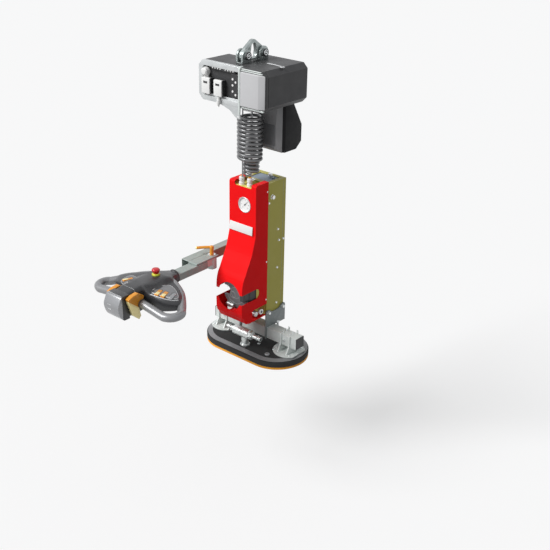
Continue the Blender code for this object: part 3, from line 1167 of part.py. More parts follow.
def build_control(shop, frame):
    """Hand control: its bushing, its stem, the moulded housing and its nose cap."""
    bushing = rod_mesh("pivot_bushing", BUSHING_RADIUS, BUSHING_HEIGHT, bevel=0.002)
    bushing_mid = BUSHING_TOP - BUSHING_HEIGHT / 2
    bushing = shop.add("pivot_bushing", bushing, "steel", (CONTROL_X, PIVOT_Y, bushing_mid), frame)
    neck_front = STEM_REAR + CLEARANCE
    neck_rear = PIVOT_Y - BUSHING_RADIUS * 0.6
    neck = block_mesh("bushing_neck", (NECK_WIDTH, neck_rear - neck_front, NECK_HEIGHT))
    stem_mid = STEM_TOP - STEM_HEIGHT / 2
    shop.tool("bushing_neck", neck, bushing, (CONTROL_X, (neck_front + neck_rear) / 2, stem_mid), "UNION")
    bore = rod_mesh("bushing_bore", BOLT_RADIUS + CLEARANCE, 2 * BUSHING_HEIGHT, segments=SMALL_SEGMENTS)
    shop.tool("bushing_bore", bore, bushing, (CONTROL_X, PIVOT_Y, bushing_mid))
    centre = (CONTROL_X, (STEM_REAR + STEM_FRONT) / 2, stem_mid)
    stem = shop.add("control_stem", block_mesh("stem", (STEM_WIDTH, STEM_LENGTH, STEM_HEIGHT), 0.002, 1),
                    "zinc", centre, frame)
    bore = (STEM_WIDTH - 2 * STEM_WALL, STEM_LENGTH * 1.1, STEM_HEIGHT - 2 * STEM_WALL)
    shop.tool("stem_bore", block_mesh("stem_bore", bore), stem, centre)
    place = (CONTROL_X, 0, 0)
    mesh = loft_mesh("housing", [housing_ring(row) for row in housing_rows()])
    housing = shop.add("control_housing", mesh, "control_grey", place, frame)
    fit = 2 * CLEARANCE
    socket = block_mesh("stem_socket", (STEM_WIDTH + fit, STEM_INSERT + 0.05, STEM_HEIGHT + fit))
    socket_at = (CONTROL_X, HOUSING_REAR - STEM_INSERT - CLEARANCE + (STEM_INSERT + 0.05) / 2, stem_mid)
    shop.tool("stem_socket", socket, housing, socket_at)
    mesh = prism_mesh("nose_cap", cap_outline(), 2 * (NOSE_HALF_WIDTH + CAP_LIP), "X", bevel=0.004)
    shop.add("nose_cap", mesh, "grip_grey", place, frame)
    return housing


def build_triggers(shop, frames):
    """Finger triggers that turn on the roots of the handles."""
    front = HOUSING_FRONT + GRIP_BACKSET
    inner = GRIP_RADIUS + 4 * CLEARANCE
    hook = [(0.78, 1.76), (-0.88, 2.88), (-2.59, 2.63), (-3.80, 2.15), (-3.56, 0.98),
            (-3.02, -0.68), (-2.49, -2.29), (-0.83, -3.71), (-0.20, -3.02)]
    outline = arc((0, 0), inner, 232, 62, 14) + [(y * GRIP_RADIUS, z * GRIP_RADIUS) for y, z in hook]
    gap = NOSE_HALF_WIDTH + CAP_LIP + TRIGGER_GAP
    for side, name in ((-1, "trigger_left"), (1, "trigger_right")):
        mesh = prism_mesh("trigger", outline, TRIGGER_WIDTH, "X", bevel=0.003)
        place = (CONTROL_X + side * (gap + TRIGGER_WIDTH / 2), front, GRIP_ROOT_HEIGHT)
        shop.add(name, mesh, "signal_gold", place, frames[name])


def button_turn(side):
    """Return a button's turn: its length runs back and inwards, and its top follows the wing."""
    return Matrix.Rotation(side * BUTTON_TURN, 4, "Z") @ Matrix.Rotation(side * BUTTON_TILT, 4, "Y")


def button_centre(name):
    """Return a button's middle, so that its face stands a little over the wing's skin."""
    across, back = BUTTON_PLACES[name]
    height = wing_height(across, back) + BUTTON_RISE - BUTTON_HEIGHT / 2
    return (CONTROL_X + across, HOUSING_REAR - back, height)


def build_buttons(shop, housing, frames):
    """Rocker buttons sunk in the wings of the housing."""
    fit = 2 * CLEARANCE
    pocket_lift = (POCKET_HEIGHT - BUTTON_HEIGHT) / 2 - BUTTON_RISE - CLEARANCE
    for name, (across, _) in BUTTON_PLACES.items():
        turn = button_turn(math.copysign(1.0, across))
        centre = button_centre(name)
        mesh = block_mesh(name, (BUTTON_WIDTH, BUTTON_LENGTH, BUTTON_HEIGHT), 0.003, 2)
        mesh.transform(turn)
        colour = "grip_grey" if name == "button_reset" else "signal_gold"
        shop.add(name, mesh, colour, centre, frames[name])
        pocket = block_mesh("pocket", (BUTTON_WIDTH + fit, BUTTON_LENGTH + fit, POCKET_HEIGHT),
                            centre=(0, 0, pocket_lift))
        pocket.transform(turn)
        shop.tool(f"pocket_{name}", pocket, housing, centre)


def build_stop(shop, housing, ring_frame, cap_frame):
    """Red stop button on its yellow ring, on the top of the housing."""
    y = HOUSING_REAR - STOP_BACKSET
    ring_low = wing_height(0.0, STOP_BACKSET) - STOP_RING_SINK
    ring_top = ring_low + STOP_RING_HEIGHT
    ring = rod_mesh("stop_ring", STOP_RADIUS * 0.94, STOP_RING_HEIGHT, end_radius=STOP_RADIUS, bevel=0.002)
    place = (CONTROL_X, y, (ring_low + ring_top) / 2)
    ring = shop.add("stop_ring", ring, "stop_yellow", place, ring_frame)
    seat = rod_mesh("stop_seat", STOP_RADIUS + 2 * CLEARANCE, POCKET_HEIGHT)
    shop.tool("stop_seat", seat, housing, (CONTROL_X, y, ring_low - CLEARANCE + POCKET_HEIGHT / 2))
    bore_low = ring_top - STOP_RING_HEIGHT * 0.75
    bore = rod_mesh("stop_bore", STOP_STEM_RADIUS + CLEARANCE, STOP_RING_HEIGHT, segments=SMALL_SEGMENTS)
    shop.tool("stop_bore", bore, ring, (CONTROL_X, y, bore_low + STOP_RING_HEIGHT / 2))
    cap_low = ring_top + STOP_TRAVEL + CLEARANCE
    cap = rod_mesh("stop_button", STOP_RADIUS * 0.72, STOP_CAP_HEIGHT, end_radius=STOP_RADIUS)
    cap = shop.add("stop_button", cap, "stop_red", (CONTROL_X, y, cap_low + STOP_CAP_HEIGHT / 2), cap_frame)
    crown = rod_mesh("stop_crown", STOP_RADIUS, STOP_CROWN_HEIGHT, end_radius=STOP_RADIUS * 0.62)
    shop.tool("stop_crown", crown, cap, (CONTROL_X, y, cap_low + STOP_CAP_HEIGHT + STOP_CROWN_HEIGHT * 0.45),
              "UNION")
    stem_low = bore_low + STOP_TRAVEL + CLEARANCE
    stem_length = cap_low + STOP_CAP_HEIGHT / 2 - stem_low
    stem = rod_mesh("stop_stem", STOP_STEM_RADIUS, stem_length, segments=SMALL_SEGMENTS)
    shop.tool("stop_stem", stem, cap, (CONTROL_X, y, stem_low + stem_length / 2), "UNION")


def build_all():
    """Build the whole lifter, body by body."""
    clear_scene()
    shop = Workshop()
    hoist = shop.frame("hoist_frame", (0, LIFT_AXIS_Y, HOIST_BOTTOM))
    lift = shop.frame("lift_frame", (0, 0, 0), hoist)
    pivot = (CONTROL_X, PIVOT_Y, BUSHING_TOP)
    lever = shop.frame("lever_frame", pivot, lift)
    control = shop.frame("control_frame", pivot, lift)
    needle = shop.frame("needle_frame", (GAUGE_X, COVER_BACK - COVER_DEPTH_TOP, GAUGE_HEIGHT), lift)
    trigger_y = HOUSING_FRONT + GRIP_BACKSET
    triggers = {name: shop.frame(f"{name}_frame", (CONTROL_X, trigger_y, GRIP_ROOT_HEIGHT), control)
                for name in ("trigger_left", "trigger_right")}
    buttons = {name: shop.frame(f"{name}_frame", button_centre(name), control) for name in BUTTON_PLACES}
    stop = shop.frame("stop_frame", (CONTROL_X, HOUSING_REAR - STOP_BACKSET, HOUSING_TOP), control)
    build_pad(shop, lift)
    build_feet(shop, lift)
    build_beam(shop, lift)
    build_tower(shop, lift)
    build_cover(shop, lift)
    build_gauge(shop, lift, needle)
    build_pump(shop, lift)
    build_head_fittings(shop, lift)
    build_tee(shop, lift)
    build_hoist(shop, hoist)
    build_suspension(shop, hoist)
    build_chain(shop, hoist)
    build_hoses(shop, hoist)
    build_arm(shop, lift, lever)
    housing = build_control(shop, control)
    build_triggers(shop, triggers)
    build_buttons(shop, housing, buttons)
    build_stop(shop, housing, control, stop)
    build_handles(shop, housing, control)


if __name__ == "__main__":
    build_all()
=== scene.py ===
"""Vacuum panel lifter: the looks of the machine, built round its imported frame.

Units are metres and +Z is up. The origin is the middle of the underside of the pad's frame, +X runs
along the pad, and the operator stands on the -Y side.
"""

import logging
import math
from dataclasses import dataclass
from enum import Enum
from typing import Iterable, Optional, Sequence, Union

import bmesh
import bpy
from mathutils import Matrix, Vector


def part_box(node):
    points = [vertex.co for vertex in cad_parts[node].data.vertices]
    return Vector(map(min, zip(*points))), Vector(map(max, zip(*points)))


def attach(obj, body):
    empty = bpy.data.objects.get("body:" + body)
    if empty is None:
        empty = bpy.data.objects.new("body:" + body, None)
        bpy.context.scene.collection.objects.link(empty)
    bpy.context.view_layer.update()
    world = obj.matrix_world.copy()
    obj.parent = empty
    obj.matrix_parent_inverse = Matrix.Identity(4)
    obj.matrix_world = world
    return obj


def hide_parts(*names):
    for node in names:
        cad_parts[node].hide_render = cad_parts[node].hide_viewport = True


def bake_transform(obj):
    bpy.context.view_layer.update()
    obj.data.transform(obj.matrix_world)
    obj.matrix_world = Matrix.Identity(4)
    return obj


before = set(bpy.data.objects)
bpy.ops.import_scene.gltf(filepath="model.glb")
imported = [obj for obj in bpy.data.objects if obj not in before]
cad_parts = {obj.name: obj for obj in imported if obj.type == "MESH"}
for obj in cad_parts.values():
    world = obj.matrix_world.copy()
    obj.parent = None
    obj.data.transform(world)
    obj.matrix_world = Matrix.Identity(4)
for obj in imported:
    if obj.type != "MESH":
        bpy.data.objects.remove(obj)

LOG = logging.getLogger("panel_lifter")
SAME = 1e-6
Point = Sequence[float]
Shape = bmesh.types.BMesh
Line = list[tuple[float, ...]]
Socket = bpy.types.NodeSocket
SIDES = ((1, "right"), (-1, "left"))


class Axis(Enum):
    """The direction that a turned or extruded shape runs along."""

    X = "X"
    Y = "Y"
    Z = "Z"

    def turn(self) -> Matrix:
        """Return the rotation that takes +Z to this axis."""
        if self is Axis.X:
            return Matrix.Rotation(math.pi / 2, 4, "Y")
        if self is Axis.Y:
            return Matrix.Rotation(-math.pi / 2, 4, "X")
        return Matrix.Identity(4)


class Body(Enum):
    """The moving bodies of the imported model."""

    BUTTON_LEFT = "button_left"
    BUTTON_INNER = "button_inner"
    BUTTON_MIDDLE = "button_middle"
    BUTTON_RESET = "button_reset"
    HOIST = "hoist"
    LIFT = "lift_unit"
    NEEDLE = "needle"
    LEVER = "lever"
    CONTROL = "control"
    TRIGGER_LEFT = "trigger_left"
    TRIGGER_RIGHT = "trigger_right"
    STOP = "stop_button"


def fill(node: bpy.types.Node, values: dict[str, object]) -> None:
    """Set the first value of each named input."""
    for label, value in values.items():
        node.inputs[label].default_value = value


def add_node(tree: bpy.types.NodeTree, kind: str, inputs: Optional[dict[str, object]] = None,
             **settings: object) -> bpy.types.Node:
    """Add a shader node to a tree.

    Args:
        tree: The node tree.
        kind: The node's type, without ShaderNode in front.
        inputs: A first value for each named input.
        **settings: A value for each of the node's own settings.

    Returns:
        The node.
    """
    node = tree.nodes.new(f"ShaderNode{kind}")
    for label, value in settings.items():
        setattr(node, label, value)
    fill(node, inputs or {})
    return node


def join(*pairs: tuple[Socket, Socket]) -> None:
    """Link each pair of an output and an input."""
    for source, target in pairs:
        target.id_data.links.new(source, target)


def product(first: Socket, second: Union[Socket, float]) -> Socket:
    """Multiply a value in a node tree.

    Args:
        first: The value.
        second: A second value, or a number.

    Returns:
        The product.
    """
    node = add_node(first.id_data, "Math", operation="MULTIPLY")
    join((first, node.inputs[0]))
    if isinstance(second, float):
        node.inputs[1].default_value = second
    else:
        join((second, node.inputs[1]))
    return node.outputs[0]


def ranged(value: Socket, low: float, high: float) -> Socket:
    """Map a value's range onto 0 to 1.

    Args:
        value: The value.
        low: What gives 0.
        high: What gives 1.

    Returns:
        The mapped value, held between 0 and 1.
    """
    node = add_node(value.id_data, "MapRange", {"From Min": low, "From Max": high})
    join((value, node.inputs["Value"]))
    return node.outputs["Result"]


class NodeBook:
    """Makes each shared shader node group once and hands it out by name."""

    def __init__(self) -> None:
        """Start with no groups made."""
        self.made: dict[str, bpy.types.NodeTree] = {}

    def group(self, name: str) -> bpy.types.NodeTree:
        """Return a shared group, and make it if it isn't there yet.

        Args:
            name: One of grain, drift, edge_mask, dust, soft_edge and smear.

        Returns:
            The node tree of the group.
        """
        if name not in self.made:
            self.made[name] = getattr(self, f"make_{name}")()
        return self.made[name]

    @staticmethod
    def start(name: str, inputs: dict[str, object], output: str, kind: str = "Float") -> tuple:
        """Make an empty group with its sockets.

        Args:
            name: The group's name.
            inputs: Each input's label with its first value; a 4-tuple is a colour, None a vector.
            output: The output's label.
            kind: The output's type, one of Float, Color and Vector.

        Returns:
            The tree, its input node and the socket that takes the result.
        """
        tree = bpy.data.node_groups.new(name, "ShaderNodeTree")
        for label, value in inputs.items():
            sort = "Vector" if value is None else "Color" if isinstance(value, tuple) else "Float"
            socket = tree.interface.new_socket(label, in_out="INPUT", socket_type=f"NodeSocket{sort}")
            if value is not None:
                socket.default_value = value
        tree.interface.new_socket(output, in_out="OUTPUT", socket_type=f"NodeSocket{kind}")
        given = tree.nodes.new("NodeGroupInput")
        return tree, given.outputs, tree.nodes.new("NodeGroupOutput").inputs[output]

    @staticmethod
    def noise(given: bpy.types.NodeOutputs, detail: float, roughness: float = 0.5,
              scale: Optional[Socket] = None) -> Socket:
        """Add a noise over a group's Vector.

        Args:
            given: The group's inputs.
            detail: How many finer layers it has.
            roughness: How strong they are.
            scale: Its scale, if that isn't the group's own.

        Returns:
            The noise.
        """
        node = add_node(given["Vector"].id_data, "TexNoise", {"Detail": detail, "Roughness": roughness})
        join((given["Vector"], node.inputs["Vector"]), (scale or given["Scale"], node.inputs["Scale"]))
        return node.outputs["Fac"]

    def make_grain(self) -> bpy.types.NodeTree:
        """Fine texture of a moulded, cast or powder-coated skin, as a height."""
        tree, given, out = self.start("grain", {"Vector": None, "Scale": 900.0, "Coarse": 0.3}, "Height")
        broad = self.noise(given, 1.0, scale=product(given["Scale"], 0.07))
        blend = add_node(tree, "Mix")
        join((given["Coarse"], blend.inputs["Factor"]), (self.noise(given, 2.0), blend.inputs["A"]),
             (broad, blend.inputs["B"]), (blend.outputs["Result"], out))
        return tree

    def make_drift(self) -> bpy.types.NodeTree:
        """Slow change of a colour over the surface, towards a second colour."""
        tree, given, out = self.start(
            "drift", {"Vector": None, "Colour": (1.0, 1.0, 1.0, 1.0), "Second": (0.5, 0.5, 0.5, 1.0),
                      "Scale": 9.0, "Depth": 0.3}, "Colour", "Color")
        spread = ranged(self.noise(given, 4.0, 0.6), 0.35, 0.75)
        blend = add_node(tree, "Mix", data_type="RGBA")
        join((product(spread, given["Depth"]), blend.inputs["Factor"]),
             (given["Colour"], blend.inputs[6]), (given["Second"], blend.inputs[7]),
             (blend.outputs[2], out))
        return tree

    def make_edge_mask(self) -> bpy.types.NodeTree:
        """Mask of the outer edges, broken up by noise, where a coat rubs thin and where a painted edge
        highlight is laid.
        """
        tree, given, out = self.start(
            "edge_mask", {"Vector": None, "Radius": 0.002, "Scale": 60.0, "Amount": 0.5}, "Mask")
        soft = add_node(tree, "Bevel", samples=4)
        match = add_node(tree, "VectorMath", operation="DOT_PRODUCT")
        join((given["Radius"], soft.inputs["Radius"]), (soft.outputs["Normal"], match.inputs[0]),
             (add_node(tree, "NewGeometry").outputs["Normal"], match.inputs[1]))
        bent = ranged(match.outputs["Value"], 0.985, 0.8)
        patchy = ranged(self.noise(given, 3.0), 0.3, 0.6)
        join((product(product(bent, patchy), given["Amount"]), out))
        return tree

    def make_dust(self) -> bpy.types.NodeTree:
        """Mask of light dust that settles on what faces up."""
        tree, given, out = self.start("dust", {"Vector": None, "Scale": 25.0, "Amount": 0.2}, "Mask")
        parts = add_node(tree, "SeparateXYZ")
        join((add_node(tree, "NewGeometry").outputs["Normal"], parts.inputs[0]))
        lying = product(ranged(parts.outputs["Z"], 0.55, 1.0), self.noise(given, 5.0, 0.65))
        join((product(lying, given["Amount"]), out))
        return tree

    def make_soft_edge(self) -> bpy.types.NodeTree:
        """Normal that rounds the sharp edges of sheet, plate and mouldings."""
        tree, given, out = self.start("soft_edge", {"Radius": 0.001}, "Normal", "Vector")
        soft = add_node(tree, "Bevel", samples=6)
        join((given["Radius"], soft.inputs["Radius"]), (soft.outputs["Normal"], out))
        return tree

    def make_smear(self) -> bpy.types.NodeTree:
        """Roughness that changes where hands and cloths have wiped, stretched along one way."""
        tree, given, out = self.start("smear", {"Vector": None, "Scale": 14.0, "Low": 0.3, "High": 0.5},
                                      "Value")
        spread = ranged(self.noise(given, 6.0, 0.7), 0.3, 0.7)
        join((given["Low"], spread.node.inputs["To Min"]), (given["High"], spread.node.inputs["To Max"]),
             (spread, out))
        return tree


NODES = NodeBook()


@dataclass(frozen=True)
class Finish:
    """One surface finish: its colours, gloss, grain, rubbed edges that also carry a painted edge
    highlight, and dust.
    """

    name: str
    slot: str
    colour: tuple[float, float, float]
    second: tuple[float, float, float]
    roughness: tuple[float, float] = (0.35, 0.5)
    metallic: float = 0.0
    coat: float = 0.0
    specular: float = 0.4
    drift: float = 0.4
    drift_scale: float = 9.0
    smear_scale: float = 14.0
    stretch: tuple[float, float, float] = (1.0, 1.0, 1.0)
    grain_scale: float = 900.0
    grain_coarse: float = 0.3
    grain_depth: float = 0.00005
    edge_radius: float = 0.0012
    # Colour and amount on the outer edges: partly rubbed coat, partly a painted edge highlight.
    rub_and_highlight_colour: tuple[float, float, float] = (0.6, 0.6, 0.6)
    rub_and_highlight: float = 0.25
    rub_and_highlight_scale: float = 60.0
    rub_and_highlight_reach: float = 1.6
    dust: float = 0.1
    dust_scale: float = 25.0
    dust_colour: tuple[float, float, float] = (0.55, 0.53, 0.5)
    coat_roughness: float = 0.12

    def material(self) -> bpy.types.Material:
        """Return the finish's material, and make it if it isn't there yet."""
        return bpy.data.materials.get(self.name) or self.make()

    def make(self) -> bpy.types.Material:
        """Make the node material of the finish."""
        material = bpy.data.materials.new(self.name)
        material.use_nodes = True
        material.diffuse_color = (*self.colour, 1.0)
        tree = material.node_tree
        shader = tree.nodes["Principled BSDF"]
        fill(shader, {"Metallic": self.metallic, "Coat Weight": self.coat,
                      "Specular IOR Level": self.specular, "Coat Roughness": self.coat_roughness})
        place = add_node(tree, "TexCoord").outputs["Object"]
        mapping = add_node(tree, "Mapping", {"Scale": self.stretch})
        join((place, mapping.inputs["Vector"]))
        stretched = mapping.outputs["Vector"]

        tone = self.use(tree, "drift", stretched, Colour=(*self.colour, 1.0), Second=(*self.second, 1.0),
                        Scale=self.drift_scale, Depth=self.drift)
        # The edge mask lays the rub colour on outer edges: partly rubbed coat, partly a painted edge
        # highlight.
        rubbed_and_highlit = self.use(tree, "edge_mask", place, Radius=self.edge_radius * self.rub_and_highlight_reach,
                          Scale=self.rub_and_highlight_scale, Amount=self.rub_and_highlight)
        worn_and_highlit = self.blend(tree, tone.outputs["Colour"], self.rub_and_highlight_colour, rubbed_and_highlit.outputs["Mask"])
        dusty = self.use(tree, "dust", place, Scale=self.dust_scale, Amount=self.dust)
        final = self.blend(tree, worn_and_highlit, self.dust_colour, dusty.outputs["Mask"])
        low, high = self.roughness
        gloss = self.use(tree, "smear", stretched, Scale=self.smear_scale, Low=low, High=high)
        grain = self.use(tree, "grain", stretched, Scale=self.grain_scale, Coarse=self.grain_coarse)
        edge = self.use(tree, "soft_edge", None, Radius=self.edge_radius)
        bump = add_node(tree, "Bump", {"Distance": self.grain_depth})
        join((final, shader.inputs["Base Color"]), (gloss.outputs["Value"], shader.inputs["Roughness"]),
             (grain.outputs["Height"], bump.inputs["Height"]),
             (edge.outputs["Normal"], bump.inputs["Normal"]),
             (bump.outputs["Normal"], shader.inputs["Normal"]))
        return material

    @staticmethod
    def use(tree: bpy.types.NodeTree, name: str, vector: Optional[Socket],
            **values: object) -> bpy.types.Node:
        """Place a shared group in a material.

        Args:
            tree: The material's node tree.
            name: The group's name.
            vector: The coordinates that it reads, or None.
            **values: A value for each named input.

        Returns:
            The group's node.
        """
        node = add_node(tree, "Group", values, node_tree=NODES.group(name))
        if vector is not None:
            join((vector, node.inputs["Vector"]))
        return node

    @staticmethod
    def blend(tree: bpy.types.NodeTree, base: Socket, colour: tuple[float, float, float],
              mask: Socket) -> Socket:
        """Mix a colour over another by a mask.

        Args:
            tree: The material's node tree.
            base: The colour underneath.
            colour: The colour on top.
            mask: How much of the top colour shows.

        Returns:
            The mixed colour's socket.
        """
        mix = add_node(tree, "Mix", data_type="RGBA")
        mix.inputs[7].default_value = (*colour, 1.0)
        join((mask, mix.inputs["Factor"]), (base, mix.inputs[6]))
        return mix.outputs[2]


# On the zinc, steel and plate finishes below, the near-white edge colour is a painted edge highlight as
# well as rubbed coat.
RED_COAT = Finish("red_powder_coat", "cover_red", (0.93, 0.006, 0.008), (0.78, 0.004, 0.006),
                  (0.46, 0.6), coat=0.03, specular=0.08, drift=0.5, grain_scale=420.0,
                  rub_and_highlight_colour=(0.8, 0.08, 0.07), rub_and_highlight=0.35, dust=0.02)
OLIVE_COAT = Finish("olive_powder_coat", "tower_olive", (0.5, 0.455, 0.085), (0.4, 0.37, 0.065),
                    (0.4, 0.55), drift=0.5, drift_scale=6.0, grain_scale=420.0, grain_depth=0.00006,
                    rub_and_highlight_colour=(0.66, 0.62, 0.3), rub_and_highlight=0.5, dust=0.06)
# A lighter copy of the olive coat: painted light, standing in for brightly lit olive in the slots and the
# notch; the head plate wears it too.
OLIVE_LIT_COPY = Finish("olive_coat_lit_copy", "tower_olive", (0.8, 0.72, 0.16), (0.7, 0.62, 0.12),
                     (0.45, 0.58), grain_scale=420.0, grain_depth=0.00006, rub_and_highlight_colour=(0.9, 0.85, 0.5),
                     rub_and_highlight=0.4, dust=0.02)
HOIST_COAT = Finish("dark_cast_coat", "hoist_grey", (0.041, 0.041, 0.043), (0.03, 0.03, 0.032),
                    (0.42, 0.58), drift=0.6, grain_scale=520.0, grain_coarse=0.5, grain_depth=0.00012,
                    edge_radius=0.0018, rub_and_highlight_colour=(0.16, 0.16, 0.165), rub_and_highlight=0.5, dust=0.05)
BUCKET_BLACK = Finish("bucket_black", "hoist_grey", (0.01, 0.01, 0.011), (0.007, 0.007, 0.0075),
                      (0.5, 0.62), specular=0.15, drift=0.6, grain_scale=700.0, grain_depth=0.0001,
                      edge_radius=0.002, rub_and_highlight_colour=(0.15, 0.15, 0.155), rub_and_highlight=0.4, dust=0.05)
COVER_GREY = Finish("light_grey_moulding", "cover_grey", (0.56, 0.56, 0.57), (0.5, 0.5, 0.51),
                    (0.38, 0.5), grain_scale=1100.0, edge_radius=0.002, rub_and_highlight_colour=(0.7, 0.7, 0.7),
                    rub_and_highlight=0.3)
ZINC = Finish("zinc_plate", "zinc", (0.4, 0.455, 0.43), (0.29, 0.34, 0.32), (0.5, 0.64),
              metallic=0.02, specular=0.2, drift=0.7, drift_scale=24.0, smear_scale=40.0,
              grain_scale=240.0, grain_coarse=0.55, grain_depth=0.00006, rub_and_highlight_colour=(0.92, 0.96, 0.94),
              rub_and_highlight=1.0, rub_and_highlight_scale=18.0)
END_ZINC = Finish("end_frame_zinc", "zinc", (0.66, 0.68, 0.68), (0.46, 0.48, 0.49), (0.24, 0.42),
                  metallic=0.45, drift=0.7, drift_scale=18.0, smear_scale=30.0, grain_scale=240.0,
                  grain_depth=0.00006, rub_and_highlight_colour=(0.92, 0.94, 0.94), rub_and_highlight=0.8)
BASE_ZINC = Finish("base_zinc", "zinc", (0.7, 0.74, 0.72), (0.55, 0.6, 0.58), (0.34, 0.5),
                   metallic=0.08, drift=0.6, drift_scale=24.0, smear_scale=40.0, grain_scale=240.0,
                   grain_depth=0.00006, rub_and_highlight_colour=(0.95, 0.97, 0.96), rub_and_highlight=1.0, rub_and_highlight_scale=18.0)
TEE_STEEL = Finish("tee_steel", "zinc", (0.7, 0.73, 0.72), (0.5, 0.54, 0.53), (0.2, 0.36),
                   metallic=0.6, drift=0.5, drift_scale=40.0, smear_scale=50.0, grain_scale=300.0,
                   rub_and_highlight_colour=(0.96, 0.97, 0.96), rub_and_highlight=0.9)
LUG_ZINC = Finish("lug_zinc", "zinc", (0.4, 0.44, 0.43), (0.22, 0.25, 0.25), (0.2, 0.36),
                  metallic=0.8, drift=0.6, drift_scale=30.0, grain_scale=240.0, grain_depth=0.00006,
                  rub_and_highlight_colour=(0.95, 0.97, 0.96), rub_and_highlight=1.0, rub_and_highlight_scale=14.0)
STEEL = Finish("bright_steel", "steel", (0.72, 0.74, 0.74), (0.52, 0.54, 0.55), (0.16, 0.32),
               metallic=1.0, drift=0.5, drift_scale=40.0, smear_scale=60.0, grain_scale=600.0,
               grain_depth=0.00004, edge_radius=0.0006, rub_and_highlight_colour=(0.92, 0.92, 0.92), rub_and_highlight=0.6, dust=0.04)
PLATE_GREY = Finish("bracket_plate", "bracket_grey", (0.27, 0.3, 0.3), (0.2, 0.23, 0.23),
                    (0.34, 0.5), metallic=0.15, drift=0.6, drift_scale=16.0, grain_scale=300.0,
                    grain_depth=0.00008, rub_and_highlight_colour=(0.62, 0.66, 0.66), rub_and_highlight=0.9)
LID_BLUE = Finish("blue_grey_lid", "lid_blue_grey", (0.22, 0.28, 0.35), (0.17, 0.21, 0.27), (0.35, 0.5),
                  metallic=0.2, rub_and_highlight_colour=(0.5, 0.55, 0.6), rub_and_highlight=0.6)
WHITE = Finish("white_moulding", "white_plastic", (0.86, 0.86, 0.85), (0.78, 0.78, 0.76), (0.3, 0.42),
               grain_scale=1200.0, grain_depth=0.00003, rub_and_highlight_colour=(0.95, 0.95, 0.95), rub_and_highlight=0.3)
PAD_BLACK = Finish("pad_black", "pad_black", (0.01, 0.01, 0.011), (0.006, 0.006, 0.007), (0.22, 0.38),
                   coat=0.1, specular=0.2, drift=0.5, grain_scale=500.0, grain_depth=0.00009,
                   edge_radius=0.002, rub_and_highlight_colour=(0.1, 0.1, 0.105), rub_and_highlight=0.5, dust=0.03)
# Grey band on the pad frame's sloped rim: a painted sheen, standing for the room mirrored in the black
# frame.
PAD_RIM_SHEEN = Finish("pad_rim_painted_sheen", "pad_black", (0.25, 0.253, 0.26), (0.19, 0.193, 0.2), (0.26, 0.38),
                  coat=0.2, drift=0.5, grain_scale=600.0, rub_and_highlight_colour=(0.3, 0.3, 0.31), rub_and_highlight=0.4, dust=0.02)
DARK_BLOCK = Finish("dark_moulding", "pad_black", (0.035, 0.035, 0.037), (0.022, 0.022, 0.024),
                    (0.35, 0.5), grain_scale=1100.0, rub_and_highlight_colour=(0.16, 0.16, 0.16), rub_and_highlight=0.4)
LIP_RUBBER = Finish("orange_rubber", "lip_orange", (0.98, 0.42, 0.03), (0.88, 0.32, 0.02), (0.52, 0.7),
                    grain_scale=800.0, grain_depth=0.0001, rub_and_highlight_colour=(0.85, 0.42, 0.12), rub_and_highlight=0.4,
                    dust=0.05)
HOSE_GLOSS = Finish("hose_gloss", "hose_black", (0.165, 0.166, 0.169), (0.12, 0.121, 0.124), (0.26, 0.38),
                    metallic=0.4, coat=0.4, grain_depth=0.00003, edge_radius=0.0004, rub_and_highlight=0.0, dust=0.04)
CONTROL_SKIN = Finish("control_skin", "control_grey", (0.048, 0.049, 0.052), (0.034, 0.035, 0.038),
                      (0.3, 0.42), metallic=0.2, coat=0.15, grain_scale=1000.0, grain_depth=0.00006,
                      edge_radius=0.0016, rub_and_highlight_colour=(0.34, 0.34, 0.35), rub_and_highlight=0.6, dust=0.03)
# Silver-grey; on the nose cap's front it paints the lit face, while the cap's top keeps the housing's
# dark skin.
CAP_SKIN = Finish("cap_skin", "control_grey", (0.33, 0.335, 0.345), (0.26, 0.265, 0.275), (0.24, 0.34),
                  metallic=0.55, coat=0.2, grain_scale=1000.0, edge_radius=0.003,
                  rub_and_highlight_colour=(0.62, 0.62, 0.63), rub_and_highlight=0.8, rub_and_highlight_scale=20.0, dust=0.03)
KEYPAD_SKIN = Finish("keypad_skin", "control_grey", (0.2, 0.203, 0.21), (0.14, 0.142, 0.148),
                     (0.26, 0.36), metallic=0.35, coat=0.3, grain_scale=1000.0, edge_radius=0.0006,
                     rub_and_highlight=0.0, dust=0.02)
GRIP_SKIN = Finish("grip_skin", "grip_grey", (0.27, 0.273, 0.28), (0.21, 0.213, 0.22), (0.32, 0.42),
                   metallic=0.45, coat=0.2, specular=0.6, grain_scale=1000.0, grain_depth=0.00004,
                   edge_radius=0.0014, rub_and_highlight_colour=(0.55, 0.55, 0.56), rub_and_highlight=0.4, dust=0.02)
PALE_TRIM = Finish("pale_trim", "grip_grey", (0.5, 0.505, 0.51), (0.4, 0.405, 0.41), (0.3, 0.42),
                   metallic=0.3, grain_scale=1000.0, grain_depth=0.00003, edge_radius=0.0006,
                   rub_and_highlight_colour=(0.8, 0.8, 0.8), rub_and_highlight=0.5, dust=0.02)
# Pale yellow; on the trigger tongues it is partly their own yellow and partly painted light.
BRIGHT_GOLD = Finish("bright_gold", "signal_gold", (1.0, 0.88, 0.44), (0.97, 0.74, 0.24), (0.26, 0.38),
                     metallic=0.2, coat=0.2, rub_and_highlight_colour=(0.98, 0.85, 0.5), rub_and_highlight=0.7)
PUMP_GREY = Finish("pump_grey", "bracket_grey", (0.21, 0.213, 0.22), (0.165, 0.168, 0.175),
                   (0.38, 0.52), metallic=0.15, drift=0.5, grain_scale=500.0, grain_depth=0.0001,
                   rub_and_highlight_colour=(0.36, 0.37, 0.37), rub_and_highlight=0.8)
